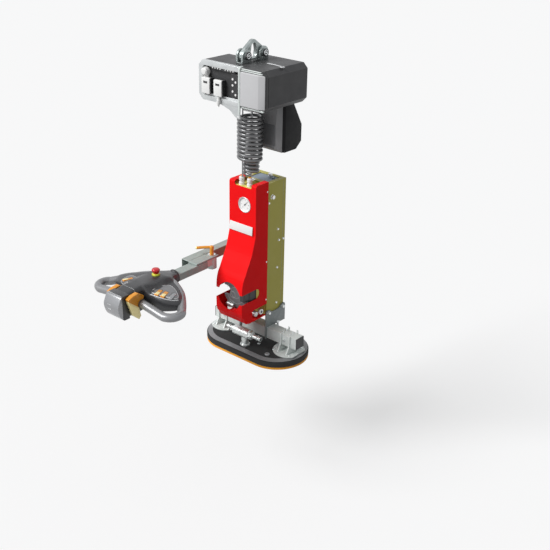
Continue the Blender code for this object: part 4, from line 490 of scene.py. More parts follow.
# Lit grey copy of the black bucket: painted light on the bucket's front, which faces the key.
BUCKET_LIT_FRONT = Finish("bucket_lit_front", "hoist_grey", (0.34, 0.34, 0.346), (0.27, 0.27, 0.276),
                      (0.4, 0.55), drift=0.6, grain_scale=700.0, grain_depth=0.0001, edge_radius=0.002,
                      rub_and_highlight_colour=(0.26, 0.26, 0.265), rub_and_highlight=0.5)
GOLD = Finish("signal_gold", "signal_gold", (0.8, 0.36, 0.05), (0.6, 0.22, 0.025), (0.28, 0.4),
              metallic=0.25, coat=0.2, rub_and_highlight_colour=(0.95, 0.66, 0.25), rub_and_highlight=0.6, dust=0.03)
STOP_RED = Finish("stop_red", "stop_red", (0.7, 0.012, 0.022), (0.52, 0.008, 0.015), (0.22, 0.34),
                  coat=0.4, rub_and_highlight_colour=(0.85, 0.2, 0.18), rub_and_highlight=0.3, dust=0.02)
STOP_YELLOW = Finish("stop_yellow", "stop_yellow", (0.74, 0.78, 0.07), (0.62, 0.66, 0.05), (0.3, 0.42),
                     rub_and_highlight_colour=(0.9, 0.92, 0.4), rub_and_highlight=0.3, dust=0.02)
DIAL_WHITE = Finish("dial_white", "white_plastic", (0.9, 0.9, 0.89), (0.86, 0.86, 0.85), (0.2, 0.3),
                    coat=0.6, edge_radius=0.0003, rub_and_highlight=0.0, dust=0.0)
DIAL_INK = Finish("dial_ink", "pad_black", (0.012, 0.012, 0.013), (0.02, 0.02, 0.02), (0.4, 0.5),
                  edge_radius=0.0002, rub_and_highlight=0.0, dust=0.0)


def linked(name: str, data: bpy.types.ID) -> bpy.types.Object:
    """Link a new object to the scene.

    Args:
        name: The object's name.
        data: Its data.

    Returns:
        The object.
    """
    item = bpy.data.objects.new(name, data)
    bpy.context.scene.collection.objects.link(item)
    return item


def mesh_of(name: str, shape: Shape) -> bpy.types.Mesh:
    """Make a mesh from a shape.

    Args:
        name: The mesh's name.
        shape: The shape, which is freed.

    Returns:
        The mesh.
    """
    mesh = bpy.data.meshes.new(name)
    shape.to_mesh(mesh)
    shape.free()
    return mesh


def evaluated(item: bpy.types.Object) -> bpy.types.Mesh:
    """Return a new mesh of an object with its modifiers or its curve worked out."""
    bpy.context.view_layer.update()
    return bpy.data.meshes.new_from_object(item.evaluated_get(bpy.context.evaluated_depsgraph_get()))


def shape_of(curve: bpy.types.Curve) -> Shape:
    """Work out the shape of a curve or a text.

    Args:
        curve: The curve or the text.

    Returns:
        The shape.
    """
    holder = linked(curve.name, curve)
    mesh = evaluated(holder)
    shape = bmesh.new()
    shape.from_mesh(mesh)
    bpy.data.objects.remove(holder, do_unlink=True)
    bpy.data.meshes.remove(mesh)
    return shape


def merged(shapes: Iterable[Shape]) -> Shape:
    """Join shapes into one.

    Args:
        shapes: The shapes, which are freed.

    Returns:
        The whole.
    """
    whole = bmesh.new()
    for shape in shapes:
        carrier = mesh_of("carrier", shape)
        whole.from_mesh(carrier)
        bpy.data.meshes.remove(carrier)
    return whole


def placed(shape: Shape, matrix: Matrix) -> Shape:
    """Return the shape moved by a matrix."""
    bmesh.ops.transform(shape, matrix=matrix, verts=shape.verts)
    return shape


def about(place: Point, change: Matrix) -> Matrix:
    """Return a turn or a stretch about a place that isn't the origin."""
    return Matrix.Translation(place) @ change @ Matrix.Translation(-Vector(place))


def bevelled(shape: Shape, edges: Sequence[bmesh.types.BMEdge], width: float, segments: int = 2) -> Shape:
    """Return a shape with some of its edges rounded."""
    bmesh.ops.bevel(shape, geom=edges, offset=width, offset_type="OFFSET", segments=segments,
                    profile=0.5, affect="EDGES", material=-1, clamp_overlap=True)
    return shape


def rounded(shape: Shape, bevel: float, segments: int = 2, sharp: float = 35.0) -> Shape:
    """Round the sharp edges of a shape.

    Args:
        shape: The shape.
        bevel: The rounding.
        segments: The steps of the rounding.
        sharp: The angle in degrees from which an edge is rounded.

    Returns:
        The same shape.
    """
    limit = math.radians(sharp)
    edges = [edge for edge in shape.edges if abs(edge.calc_face_angle(0.0)) > limit]
    return bevelled(shape, edges, bevel, segments)


def standing(place: Point, axis: Axis, side: int) -> Matrix:
    """Return the placing of a fastener that stands on a point, one way or the other along an axis."""
    flip = Matrix.Rotation(math.pi, 4, "X") if side < 0 else Matrix.Identity(4)
    return Matrix.Translation(place) @ axis.turn() @ flip


def block(size: Point, centre: Point = (0, 0, 0), bevel: float = 0.0, segments: int = 3,
          turn: Optional[Matrix] = None) -> Shape:
    """Make a box with rounded edges.

    Args:
        size: The lengths along X, Y and Z.
        centre: The box's middle.
        bevel: The rounding of its edges.
        segments: The steps of the rounding.
        turn: A rotation about the middle.

    Returns:
        The shape.
    """
    shape = bmesh.new()
    bmesh.ops.create_cube(shape, size=1.0)
    bmesh.ops.scale(shape, vec=size, verts=shape.verts)
    if bevel:
        bevelled(shape, shape.edges[:], bevel, segments)
    return placed(shape, Matrix.Translation(centre) @ (turn or Matrix.Identity(4)))


def rod(radius: float, length: float, axis: Axis = Axis.Z, centre: Point = (0, 0, 0), bevel: float = 0.0,
        segments: int = 32, end_radius: Optional[float] = None) -> Shape:
    """Make a round or many-sided bar.

    Args:
        radius: The radius at the start.
        length: The length.
        axis: The direction it runs along.
        centre: Its middle.
        bevel: The rounding of its two rims.
        segments: The number of its sides.
        end_radius: The radius at the end, if it differs.

    Returns:
        The shape.
    """
    shape = bmesh.new()
    bmesh.ops.create_cone(shape, cap_ends=True, segments=segments, radius1=radius,
                          radius2=radius if end_radius is None else end_radius, depth=length)
    if bevel:
        rims = [edge for edge in shape.edges if abs(edge.verts[0].co.z - edge.verts[1].co.z) < SAME]
        bevelled(shape, rims, bevel)
    return placed(shape, Matrix.Translation(centre) @ axis.turn())


def lathe(profile: Sequence[Point], steps: int = 48, axis: Axis = Axis.Z, centre: Point = (0, 0, 0),
          closed: bool = False, stretch: float = 0.0) -> Shape:
    """Spin a profile round an axis.

    Args:
        profile: Points as (radius, height).
        steps: The number of sides of the turned shape.
        axis: The direction of the axis.
        centre: Where the axis starts.
        closed: Whether the profile's last point joins its first.
        stretch: How far the two halves are drawn apart along X, for a pad with straight sides.

    Returns:
        The shape.
    """
    shape = bmesh.new()
    points = [shape.verts.new((radius, 0.0, height)) for radius, height in profile]
    pairs = list(zip(points, points[1:])) + ([(points[-1], points[0])] if closed else [])
    edges = [shape.edges.new(pair) for pair in pairs]
    bmesh.ops.rotate(shape, matrix=Matrix.Rotation(math.pi / 2 + math.pi / steps, 3, "Z"), verts=points)
    bmesh.ops.spin(shape, geom=points + edges, cent=(0, 0, 0), axis=(0, 0, 1), dvec=(0, 0, 0),
                   angle=math.tau, steps=steps, use_merge=True, use_duplicate=False)
    bmesh.ops.remove_doubles(shape, verts=shape.verts, dist=SAME)
    if stretch:
        for side in (-1, 1):
            half = [point for point in shape.verts if point.co.x * side > SAME]
            bmesh.ops.translate(shape, vec=(side * stretch, 0, 0), verts=half)
    bmesh.ops.recalc_face_normals(shape, faces=shape.faces)
    return placed(shape, Matrix.Translation(centre) @ axis.turn())


def prism(outline: Sequence[Point], depth: float, axis: Axis, centre: float = 0.0, bevel: float = 0.0,
          segments: int = 2, sharp: float = 30.0) -> Shape:
    """Extrude a flat outline along an axis, half of its depth to each side.

    Args:
        outline: Pairs (Y, Z) for an X axis, (X, Z) for a Y axis and (X, Y) for a Z axis.
        depth: The thickness.
        axis: The direction of the thickness.
        centre: Where the middle lies on that axis.
        bevel: The rounding of the two faces' rims.
        segments: The steps of the rounding.
        sharp: The angle in degrees from which a side edge between two flats is rounded too.

    Returns:
        The shape.
    """
    def spot(a: float, b: float, c: float) -> tuple[float, float, float]:
        """Return a point from its two outline values and its place on the axis."""
        return {Axis.X: (c, a, b), Axis.Y: (a, c, b), Axis.Z: (a, b, c)}[axis]

    shape = bmesh.new()
    face = shape.faces.new([shape.verts.new(spot(a, b, centre - depth / 2)) for a, b in outline])
    side = bmesh.ops.extrude_face_region(shape, geom=[face])
    far = [item for item in side["geom"] if isinstance(item, bmesh.types.BMVert)]
    bmesh.ops.translate(shape, vec=spot(0, 0, depth), verts=far)
    bmesh.ops.recalc_face_normals(shape, faces=shape.faces)
    return rounded(shape, bevel, segments, sharp) if bevel else shape


def arc(centre: Point, radius: float, start: float, end: float, steps: int) -> Line:
    """Return points on an arc between two angles in degrees."""
    angles = [math.radians(start + (end - start) * step / steps) for step in range(steps + 1)]
    return [(centre[0] + radius * math.cos(a), centre[1] + radius * math.sin(a)) for a in angles]


def smooth_line(points: Sequence[Point], steps: int) -> Line:
    """Draw a smooth line through its points.

    Args:
        points: The points.
        steps: The steps on each stretch.

    Returns:
        The line.
    """
    line: Line = []
    for index in range(len(points) - 1):
        before, start = Vector(points[max(index - 1, 0)]), Vector(points[index])
        end, after = Vector(points[index + 1]), Vector(points[min(index + 2, len(points) - 1)])
        for step in range(steps):
            t = step / steps
            line.append(tuple(0.5 * (2 * start + (end - before) * t
                                     + (2 * before - 5 * start + 4 * end - after) * t ** 2
                                     + (3 * start - before - 3 * end + after) * t ** 3)))
    return line + [tuple(points[-1])]


def looped(corners: Sequence[Point], steps: int) -> Line:
    """Return a smooth closed line through its corners."""
    return smooth_line([*corners, corners[0]], steps)[:-1]


def tube(points: Sequence[Point], radius: float, resolution: int = 5, closed: bool = False,
         shift: Point = (0, 0, 0)) -> Shape:
    """Make a round tube along a line of points.

    Args:
        points: The middle line.
        radius: The tube's radius.
        resolution: How finely the tube is rounded.
        closed: Whether the line is a loop.
        shift: A move of the whole tube.

    Returns:
        The shape.
    """
    curve = bpy.data.curves.new("tube", "CURVE")
    curve.dimensions = "3D"
    curve.bevel_depth = radius
    curve.bevel_resolution = resolution
    curve.use_fill_caps = not closed
    spline = curve.splines.new("POLY")
    spline.points.add(len(points) - 1)
    spline.use_cyclic_u = closed
    for knot, point in zip(spline.points, points):
        knot.co = (*point, 1.0)
    shape = shape_of(curve)
    bmesh.ops.remove_doubles(shape, verts=shape.verts, dist=SAME)
    bmesh.ops.recalc_face_normals(shape, faces=shape.faces)
    return placed(shape, Matrix.Translation(shift))


def hex_bolt(place: Point, axis: Axis, size: float, side: int = 1) -> Shape:
    """Make a hexagon bolt head on its washer.

    Args:
        place: The point on the surface that it is screwed to.
        axis: The direction it stands along.
        size: The width across its flats.
        side: Plus or minus 1, the way it points on that axis.

    Returns:
        The shape.
    """
    rim = size * 0.62
    washer = lathe([(0, 0), (rim, 0), (rim, size * 0.09), (size * 0.56, size * 0.12), (0, size * 0.12)],
                   24)
    head = bmesh.new()
    bmesh.ops.create_cone(head, cap_ends=True, segments=6, radius1=size * 0.577, radius2=size * 0.577,
                          depth=size * 0.5)
    rims = [edge for edge in head.edges if edge.verts[0].co.z > 0 and edge.verts[1].co.z > 0]
    bevelled(head, rims, size * 0.06)
    bmesh.ops.translate(head, vec=(0, 0, size * 0.36), verts=head.verts)
    return placed(merged([washer, head]), standing(place, axis, side))


def cap_screw(place: Point, axis: Axis, radius: float, side: int = 1, height: float = 0.6) -> Shape:
    """Make a round screw head with a hexagon socket.

    Args:
        place: The point on the surface.
        axis: The direction it stands along.
        radius: The head's radius.
        side: Plus or minus 1, the way it points on that axis.
        height: The head's height as a share of its radius.

    Returns:
        The shape.
    """
    tall = radius * height
    head = lathe([(0, 0), (radius, 0), (radius, tall * 0.75), (radius * 0.88, tall),
                  (radius * 0.52, tall), (radius * 0.46, tall * 0.45), (0, tall * 0.4)], 18)
    return placed(head, standing(place, axis, side))


def copy_of(name: str) -> Shape:
    """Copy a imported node's mesh, with its flats made whole.

    Args:
        name: The node's name.

    Returns:
        The shape.
    """
    shape = bmesh.new()
    shape.from_mesh(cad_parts[name].data)
    bmesh.ops.remove_doubles(shape, verts=shape.verts, dist=1e-5)
    bmesh.ops.dissolve_limit(shape, angle_limit=math.radians(0.5), verts=shape.verts, edges=shape.edges)
    return shape


def sliced(shape: Shape, place: Point, away: Point) -> Shape:
    """Cut a shape by a plane and close the cut.

    Args:
        shape: The shape.
        place: A point on the plane.
        away: The plane's normal, towards the side that is dropped.

    Returns:
        The same shape.
    """
    cut = bmesh.ops.bisect_plane(shape, geom=shape.verts[:] + shape.edges[:] + shape.faces[:],
                                 plane_co=place, plane_no=away, clear_outer=True, dist=SAME)
    if any(isinstance(item, bmesh.types.BMEdge) for item in cut["geom_cut"]):
        bmesh.ops.holes_fill(shape, edges=[edge for edge in shape.edges if edge.is_boundary], sides=0)
    bmesh.ops.recalc_face_normals(shape, faces=shape.faces)
    return shape


@dataclass(frozen=True)
class Extent:
    """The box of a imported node."""

    low: Vector
    high: Vector

    @classmethod
    def of(cls, name: str) -> "Extent":
        """Return the box of the node with this name."""
        return cls(*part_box(name))

    @property
    def middle(self) -> Vector:
        """The middle of the box."""
        return (self.low + self.high) / 2

    @property
    def size(self) -> Vector:
        """The lengths of the box."""
        return self.high - self.low

    @property
    def radius(self) -> float:
        """The radius of a round node that stands upright."""
        return (self.high.x - self.low.x) / 2

    @property
    def tall(self) -> float:
        """The height of the box."""
        return self.high.z - self.low.z

    @property
    def foot(self) -> tuple[float, float, float]:
        """The middle of the underside."""
        return (self.middle.x, self.middle.y, self.low.z)


def carve(item: bpy.types.Object, cutters: Sequence[Shape], angle: float = 35.0) -> None:
    """Cut shapes out of a piece and keep the result as its mesh.

    Args:
        item: The piece, which has no modifiers.
        cutters: The shapes to take away, which are freed.
        angle: The angle in degrees up to which its faces are shaded smooth.
    """
    holders = []
    for index, shape in enumerate(cutters):
        holder = linked(f"cutter_{index}", mesh_of(f"cutter_{index}", shape))
        step = item.modifiers.new(f"cut_{index}", "BOOLEAN")
        step.operation, step.solver, step.object = "DIFFERENCE", "EXACT", holder
        holders.append(holder)
    old, result = item.data, evaluated(item)
    item.modifiers.clear()
    for holder in holders:
        bpy.data.objects.remove(holder, do_unlink=True)
    item.data = result
    result.name = item.name
    bpy.data.meshes.remove(old)
    result.shade_smooth()
    result.set_sharp_from_angle(angle=math.radians(angle))
    LOG.info("piece %s: %d faces once cut", item.name, len(result.polygons))


def dress(finish: Finish, *names: str) -> None:
    """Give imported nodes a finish.

    Args:
        finish: The surface finish.
        *names: The nodes' names.
    """
    for name in names:
        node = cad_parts[name]
        if not node.material_slots:
            node.data.materials.append(None)
        for slot in node.material_slots:
            slot.material = finish.material()
        LOG.info("node %s: %s", name, finish.name)


@dataclass
class Assembly:
    """A sub-assembly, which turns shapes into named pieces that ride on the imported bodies."""

    body: Body = Body.LIFT

    def piece(self, name: str, shape: Shape, finish: Finish, replaces: Sequence[str] = (),
              angle: float = 35.0, body: Optional[Body] = None, ride: bool = True) -> bpy.types.Object:
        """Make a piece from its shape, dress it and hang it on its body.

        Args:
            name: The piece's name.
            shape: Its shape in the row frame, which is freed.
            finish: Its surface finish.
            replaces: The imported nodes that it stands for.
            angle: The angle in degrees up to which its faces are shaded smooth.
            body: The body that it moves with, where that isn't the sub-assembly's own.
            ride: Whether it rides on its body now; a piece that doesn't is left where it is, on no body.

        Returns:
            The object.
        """
        mesh = mesh_of(name, shape)
        mesh.shade_smooth()
        mesh.set_sharp_from_angle(angle=math.radians(angle))
        mesh.materials.append(finish.material())
        item = linked(name, mesh)
        if ride:
            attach(item, (body or self.body).value)
        if replaces:
            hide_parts(*replaces)
        LOG.info("piece %s: %d faces, %s", name, len(mesh.polygons), finish.name)
        return item

    def soften(self, node: str, name: str, finish: Finish, bevel: float, segments: int = 3,
               sharp: float = 40.0, body: Optional[Body] = None) -> None:
        """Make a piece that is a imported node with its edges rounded.

        Args:
            node: The node's name.
            name: The piece's name.
            finish: Its surface finish.
            bevel: The rounding.
            segments: The steps of the rounding.
            sharp: The angle in degrees from which an edge is rounded.
            body: The body that it moves with, where that isn't the sub-assembly's own.
        """
        self.piece(name, rounded(copy_of(node), bevel, segments, sharp), finish, [node], body=body)


@dataclass
class Studio:
    """Camera at the photograph's angle, plain soft light and a pale floor."""

    eye: Point = (2.7643, -3.2106, 2.4219)
    right: Point = (0.77407515, 0.63258403, 0.02539881)
    down: Point = (0.28959949, -0.31812919, -0.90273249)
    forward: Point = (-0.56297406, 0.70613827, -0.42945192)
    sensor: float = 36.0
    focus: float = 904.42
    frame_width: float = 550.0
    middle: float = 288.74
    lowest: float = -0.0123
    travel: float = 0.6
    floor_gap: float = 0.0007
    floor_width: float = 60.0
    key_from: Point = (-0.36, -0.68, 0.64)
    key_level: float = 3.05
    key_softness: float = 30.0
    fill_level: float = 0.34
    seen_level: float = 0.97
    sky_colour: tuple = (0.97, 0.98, 1.0, 1.0)
    bounce_tone: float = 0.34
    floor_tone: float = 0.5
    floor_glow: float = 0.46

    def build(self) -> None:
        """Make the camera, the lamps, the world and the floor."""
        self.make_camera()
        self.make_light()
        self.make_floor()
        bpy.context.scene.view_settings.view_transform = "Standard"

    def make_camera(self) -> None:
        """Place the camera where the photograph was taken from."""
        camera = bpy.data.cameras.new("camera")
        camera.sensor_fit = "HORIZONTAL"
        camera.sensor_width = self.sensor
        camera.lens = self.focus / self.frame_width * self.sensor
        camera.shift_x = -(self.middle - self.frame_width / 2) / self.frame_width
        camera.clip_end = 100.0
        holder = linked("camera", camera)
        columns = (Vector(self.right), -Vector(self.down), -Vector(self.forward))
        turn = Matrix(columns).transposed().to_4x4()
        holder.matrix_world = Matrix.Translation(self.eye) @ turn
        bpy.context.scene.camera = holder

    def make_light(self) -> None:
        """Light the front and the top, and give metals a pale room to mirror."""
        lamp = bpy.data.lights.new("key", "SUN")
        lamp.energy = self.key_level
        lamp.angle = math.radians(self.key_softness)
        holder = linked("key", lamp)
        holder.rotation_euler = Vector(self.key_from).to_track_quat("Z", "Y").to_euler()
        world = bpy.data.worlds.new("room")
        world.use_nodes = True
        bpy.context.scene.world = world
        tree = world.node_tree
        back = tree.nodes["Background"]
        back.inputs["Color"].default_value = self.sky_colour
        level = add_node(tree, "MapRange", {"To Min": self.fill_level, "To Max": self.seen_level})
        join((self.seen_rays(tree), level.inputs["Value"]),
             (level.outputs["Result"], back.inputs["Strength"]))

    def make_floor(self) -> None:
        """Lay a plain pale floor where the pad lands at the low end of the hoist's travel."""
        shape = bmesh.new()
        bmesh.ops.create_grid(shape, x_segments=1, y_segments=1, size=self.floor_width / 2)
        height = self.lowest - self.travel - self.floor_gap
        bmesh.ops.translate(shape, vec=(0, 0, height), verts=shape.verts)
        floor = linked("floor", mesh_of("floor", shape))
        material = bpy.data.materials.new("pale_floor")
        material.use_nodes = True
        tree = material.node_tree
        shader = tree.nodes["Principled BSDF"]
        fill(shader, {"Roughness": 0.8, "Specular IOR Level": 0.0,
                      "Emission Color": (1.0, 1.0, 1.0, 1.0)})
        tone = add_node(tree, "Mix", data_type="RGBA")
        tone.inputs[6].default_value = (*[self.bounce_tone] * 3, 1.0)
        tone.inputs[7].default_value = (*[self.floor_tone] * 3, 1.0)
        seen = self.seen_rays(tree)
        join((seen, tone.inputs["Factor"]), (tone.outputs[2], shader.inputs["Base Color"]),
             (product(seen, self.floor_glow), shader.inputs["Emission Strength"]))
        floor.data.materials.append(material)

    @staticmethod
    def seen_rays(tree: bpy.types.NodeTree) -> Socket:
        """Make a value that is 1 for camera, mirror and glass rays.

        Args:
            tree: The node tree.

        Returns:
            The socket.
        """
        path = add_node(tree, "LightPath")
        total = path.outputs["Is Camera Ray"]
        for label in ("Is Glossy Ray", "Is Transmission Ray"):
            either = add_node(tree, "Math", operation="MAXIMUM")
            join((total, either.inputs[0]), (path.outputs[label], either.inputs[1]))
            total = either.outputs[0]
        return total


@dataclass
class SuctionPad(Assembly):
    """Orange sealing lip under a black frame with a sloped rim, which carries a grey band of painted
    sheen.
    """

    half_width: float = 0.165
    straight: float = 0.135
    wall: float = 0.016
    overhang: float = 0.005
    groove: float = 0.003
    shoulder: float = 0.033
    top: float = 0.038
    rim: float = 0.03
    rounding: float = 0.004
    steps: int = 128

    def build(self) -> None:
        """Make the lip, the frame, the painted sheen band on its rim, its knob and its screw."""
        r, inner = self.half_width, self.half_width - self.wall
        lip = [(inner, 0.0027), (r, 0.0027), (r, -0.002), (r + 0.0018, -0.0052), (r + 0.004, -0.0092),
               (r + 0.0042, -0.0112), (r + 0.0026, -0.0123), (r - 0.004, -0.0123),
               (r - 0.007, -0.01), (inner + 0.002, -0.0075), (inner, -0.005)]
        self.piece("pad_lip_rubber", lathe(lip, self.steps, closed=True, stretch=self.straight),
                   LIP_RUBBER, ["pad_lip"])
        edge, soft = r + self.overhang, self.rounding
        frame_line = [(0, 0), (inner - 0.0003, 0), (inner - 0.0003, self.groove),
                      (r + 0.0003, self.groove), (r + 0.0003, 0), (edge - soft, 0)]
        frame_line += arc((edge - soft, soft), soft, -90, 0, 4)[1:]
        frame_line += arc((edge - soft, self.shoulder - 2 * soft), soft, 0, 70, 5)
        frame_line += [(edge - self.rim + 0.004, self.top - 0.0008), (edge - self.rim, self.top),
                       (0, self.top)]
        self.piece("pad_frame_casting", lathe(frame_line, self.steps, stretch=self.straight), PAD_BLACK,
                   ["pad_frame"], angle=24.0)
        # Grey band laid on the sloped rim: painted sheen on the black frame.
        band = [(edge - soft - 0.001, self.shoulder - 0.0012),
                (edge - soft - 0.0014, self.shoulder + 0.0008),
                (edge - self.rim - 0.001, self.top + 0.0005),
                (edge - self.rim - 0.0016, self.top - 0.0006)]
        self.piece("pad_rim_sheen_band", lathe(band, self.steps, closed=True, stretch=self.straight), PAD_RIM_SHEEN)
        knob = Extent.of("pad_knob")
        radius, tall = knob.radius, knob.tall
        dome = [(0, 0), (radius, 0), (radius, tall * 0.18)] + [
            (radius * math.cos(a), tall * (0.18 + 0.82 * math.sin(a)))
            for a in (math.radians(9 * step) for step in range(1, 10))] + [(0, tall)]
        self.piece("pad_relief_knob", lathe(dome, 32, centre=knob.foot), GRIP_SKIN, ["pad_knob"])
        self.piece("pad_screw", cap_screw((0.058, -0.053, self.top - 0.0005), Axis.Z, 0.0085), STEEL)


@dataclass
class LoadChain(Assembly):
    """Round-link chain from the guide under the hoist to the anchor on the tower."""

    body: Body = Body.HOIST
    wire: float = 0.002
    half_width: float = 0.0048
    half_link: float = 0.01
    links: int = 30
    axis_y: float = -0.058

    def build(self) -> None:
        """Make the links, each turned a quarter from the next."""
        low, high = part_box("load_chain")
        pitch = (high.z - low.z - 2 * self.half_link) / (self.links - 1)
        reach = self.half_link - self.wire - self.half_width
        outline = arc((0, reach), self.half_width, 0, 180, 7)
        outline += arc((0, -reach), self.half_width, 180, 360, 7)
        shapes = []
        for index in range(self.links):
            height = low.z + self.half_link + index * pitch
            flat = [(a, 0, b) if index % 2 else (0, a, b) for a, b in outline]
            shapes.append(tube(flat, self.wire, 2, closed=True, shift=(0, self.axis_y, height)))
        chain = self.piece("chain_links", merged(shapes), STEEL, ["load_chain"], ride=False)
        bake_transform(chain)


@dataclass
class SpiralHose(Assembly):
    """Black spiral hose round the chain, wide above and narrow below, and the control cable."""

    body: Body = Body.HOIST
    radius: float = 0.0085
    wide: float = 0.055
    narrow: float = 0.0325
    shift: Point = (-0.006, -0.005)
    axis_y: float = -0.058
    top: float = 1.263
    bottom: float = 0.9731
    start: float = 219.0
    wide_turns: float = 10.5
    funnel_turns: float = 0.5
    neck_turns: float = 3.25
    steps: int = 36

    def line(self) -> Line:
        """Return the hose's middle line from the hoist down to the tower."""
        turns = self.wide_turns + self.funnel_turns + self.neck_turns
        count = round(turns * self.steps)
        points = []
        for step in range(count + 1):
            turn = turns * step / count
            share = min(max((turn - self.wide_turns) / self.funnel_turns, 0.0), 1.0)
            ease = share * share * (3 - 2 * share)
            radius = self.wide + (self.narrow - self.wide) * ease
            angle = math.radians(self.start) + math.tau * turn
            points.append((self.shift[0] * (1 - ease) + radius * math.cos(angle),
                           self.axis_y + self.shift[1] * (1 - ease) + radius * math.sin(angle),
                           self.top + (self.bottom - self.top) * step / count))
        return points

    def build(self) -> None:
        """Make the hose, its fitting and the cable."""
        hose = self.piece("spiral_air_hose", tube(self.line(), self.radius, 5), HOSE_GLOSS,
                          ["spiral_hose"], angle=60.0, ride=False)
        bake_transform(hose)
        cord = Extent.of("control_cable")
        x, y, foot = cord.foot
        points = [(x, y, foot + cord.tall * step / 24) for step in range(25)]
        cable = self.piece("signal_cable", tube(points, cord.radius, 4), GRIP_SKIN, ["control_cable"],
                           angle=60.0, ride=False)
        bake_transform(cable)
        union = Extent.of("hose_fitting")
        r, tall = union.radius, union.tall
        profile = [(0, 0), (r * 0.72, 0), (r * 0.8, 0.006), (r * 0.8, tall * 0.42), (r, tall * 0.46),
                   (r, tall * 0.82), (r * 0.86, tall * 0.86), (r * 0.86, tall), (0, tall)]
        self.piece("hose_union", lathe(profile, 32, centre=union.foot), WHITE, ["hose_fitting"])


@dataclass
class HandControl(Assembly):
    """Moulded hand control with its cap, loop handles, triggers, buttons and stop button."""

    body: Body = Body.CONTROL
    middle: float = -0.1367
    rear: float = -0.473
    front: float = -0.795
    length: float = 0.322
    half_width: float = 0.214
    top: float = 0.567
    low: float = 0.435
    wing_drop: float = 0.027
    spine_half: float = 0.048
    spine_slope: float = 0.036
    nose: float = 0.047
    stem_half: float = 0.029
    cap_length: float = 0.068
    cap_drop: float = 0.009
    grip_radius: float = 0.0205
    grip_reach: float = 0.212
    grip_bend: float = 0.05
    grip_backset: float = 0.052
    grip_high: float = 0.5
    grip_low: float = 0.481
    grip_insert: float = 0.014
    grip_tail: tuple = ((0.2, 0.134, 0.01), (0.148, 0.177, 0.025), (0.09, 0.201, 0.041))
    grip_end: tuple = (0.046, 0.216, 0.043)
    trigger_width: float = 0.026
    plate_lift: float = 0.0012
    plate_depth: float = 0.0027
    rocker: Point = (0.0215, 0.0515, 0.0138)
    light_end: Point = (0.0185, 0.0235, 0.0016)
    key_gap: float = 0.0007
    pocket_depth: float = 0.024
    keys: tuple = (Body.BUTTON_LEFT, Body.BUTTON_INNER, Body.BUTTON_MIDDLE, Body.BUTTON_RESET)
    steps: int = 72

    def rows(self) -> Line:
        """Return the housing's sections from the collar to the nose, finely spaced.

        Returns:
            Rows of the distance from the rear, the half width, the heights of the spine, the wing's
            crown, the widest line and the underside, and the corner value.
        """
        top, low, wide, nose = self.top, self.low, self.half_width, self.nose
        crown = top - self.wing_drop
        stem = self.stem_half + 0.01
        rough = [
            (0.0, stem, top - 0.021, top - 0.021, top - 0.051, low + 0.049, 0.6),
            (0.037, stem + 0.008, top - 0.012, top - 0.012, top - 0.049, low + 0.043, 0.5),
            (0.062, 0.37 * wide, top - 0.007, crown + 0.01, top - 0.043, low + 0.04, 0.6),
            (0.077, 0.54 * wide, top - 0.004, crown + 0.006, top - 0.051, low + 0.036, 0.6),
            (0.092, 0.7 * wide, top - 0.002, crown + 0.003, top - 0.061, low + 0.033, 0.6),
            (0.122, 0.89 * wide, top - 0.001, crown + 0.001, top - 0.071, low + 0.03, 0.6),
            (0.157, wide, top, crown, top - 0.079, low + 0.027, 0.6),
            (0.177, 0.98 * wide, top, crown, top - 0.082, low + 0.023, 0.6),
            (0.202, 0.86 * wide, top, crown, top - 0.079, low + 0.019, 0.6),
            (0.22, 0.7 * wide, top, crown, top - 0.077, low + 0.015, 0.6),
            (0.229, 0.47 * wide, top, crown, top - 0.075, low + 0.011, 0.6),
            (0.234, nose + 0.01, top, crown + 0.02, top - 0.07, low + 0.007, 0.45),
            (0.24, nose, top, top, top - 0.067, low + 0.004, 0.3),
            (0.283, nose, top - 0.001, top - 0.001, top - 0.066, low, 0.3),
            (self.length, nose - 0.001, top - self.cap_drop, top - self.cap_drop, top - 0.07,
             low + 0.002, 0.3),
        ]
        return smooth_line(rough[:11], 4) + rough[11:]

    def skin(self, across: float, row: Point) -> float:
        """Work out the height of the top skin on a section.

        Args:
            across: The distance from the middle.
            row: The section.

        Returns:
            The height.
        """
        _, half, spine, crown, rim, _, corner = row
        fall = min(max((abs(across) - self.spine_half) / self.spine_slope, 0.0), 1.0)
        top = spine + (crown - spine) * fall * fall * (3 - 2 * fall)
        reach = min(abs(across) / half, 1.0) ** (1 / corner)
        return rim + (top - rim) * (1 - reach * reach) ** (corner / 2)

    def wing(self, across: float, back: float) -> float:
        """Work out the height of the top skin between two sections.

        Args:
            across: The distance from the middle.
            back: The distance from the rear.

        Returns:
            The height.
        """
        rows = self.rows()
        for near, far in zip(rows, rows[1:]):
            if near[0] <= back <= far[0]:
                share = (back - near[0]) / (far[0] - near[0])
                return self.skin(across, near) * (1 - share) + self.skin(across, far) * share
        return self.top

    def housing_shape(self) -> Shape:
        """Return the housing's skin, bridged from section to section."""
        shape = bmesh.new()
        loops = []
        for row in self.rows():
            back, half, _, _, rim, bottom, corner = row
            ring = []
            for step in range(self.steps):
                angle = math.tau * (step + 0.5) / self.steps
                across = half * math.copysign(abs(math.cos(angle)) ** corner, math.cos(angle))
                height = rim - abs(math.sin(angle)) ** corner * (rim - bottom)
                if math.sin(angle) >= 0:
                    height = self.skin(across, row)
                ring.append(shape.verts.new((self.middle + across, self.rear - back, height)))
            loops.append([shape.edges.new((a, b)) for a, b in zip(ring, ring[1:] + ring[:1])])
        for near, far in zip(loops, loops[1:]):
            bmesh.ops.bridge_loops(shape, edges=near + far)
        for loop in (loops[0], loops[-1]):
            bmesh.ops.edgeloop_fill(shape, edges=loop)
        bmesh.ops.recalc_face_normals(shape, faces=shape.faces)
        return shape

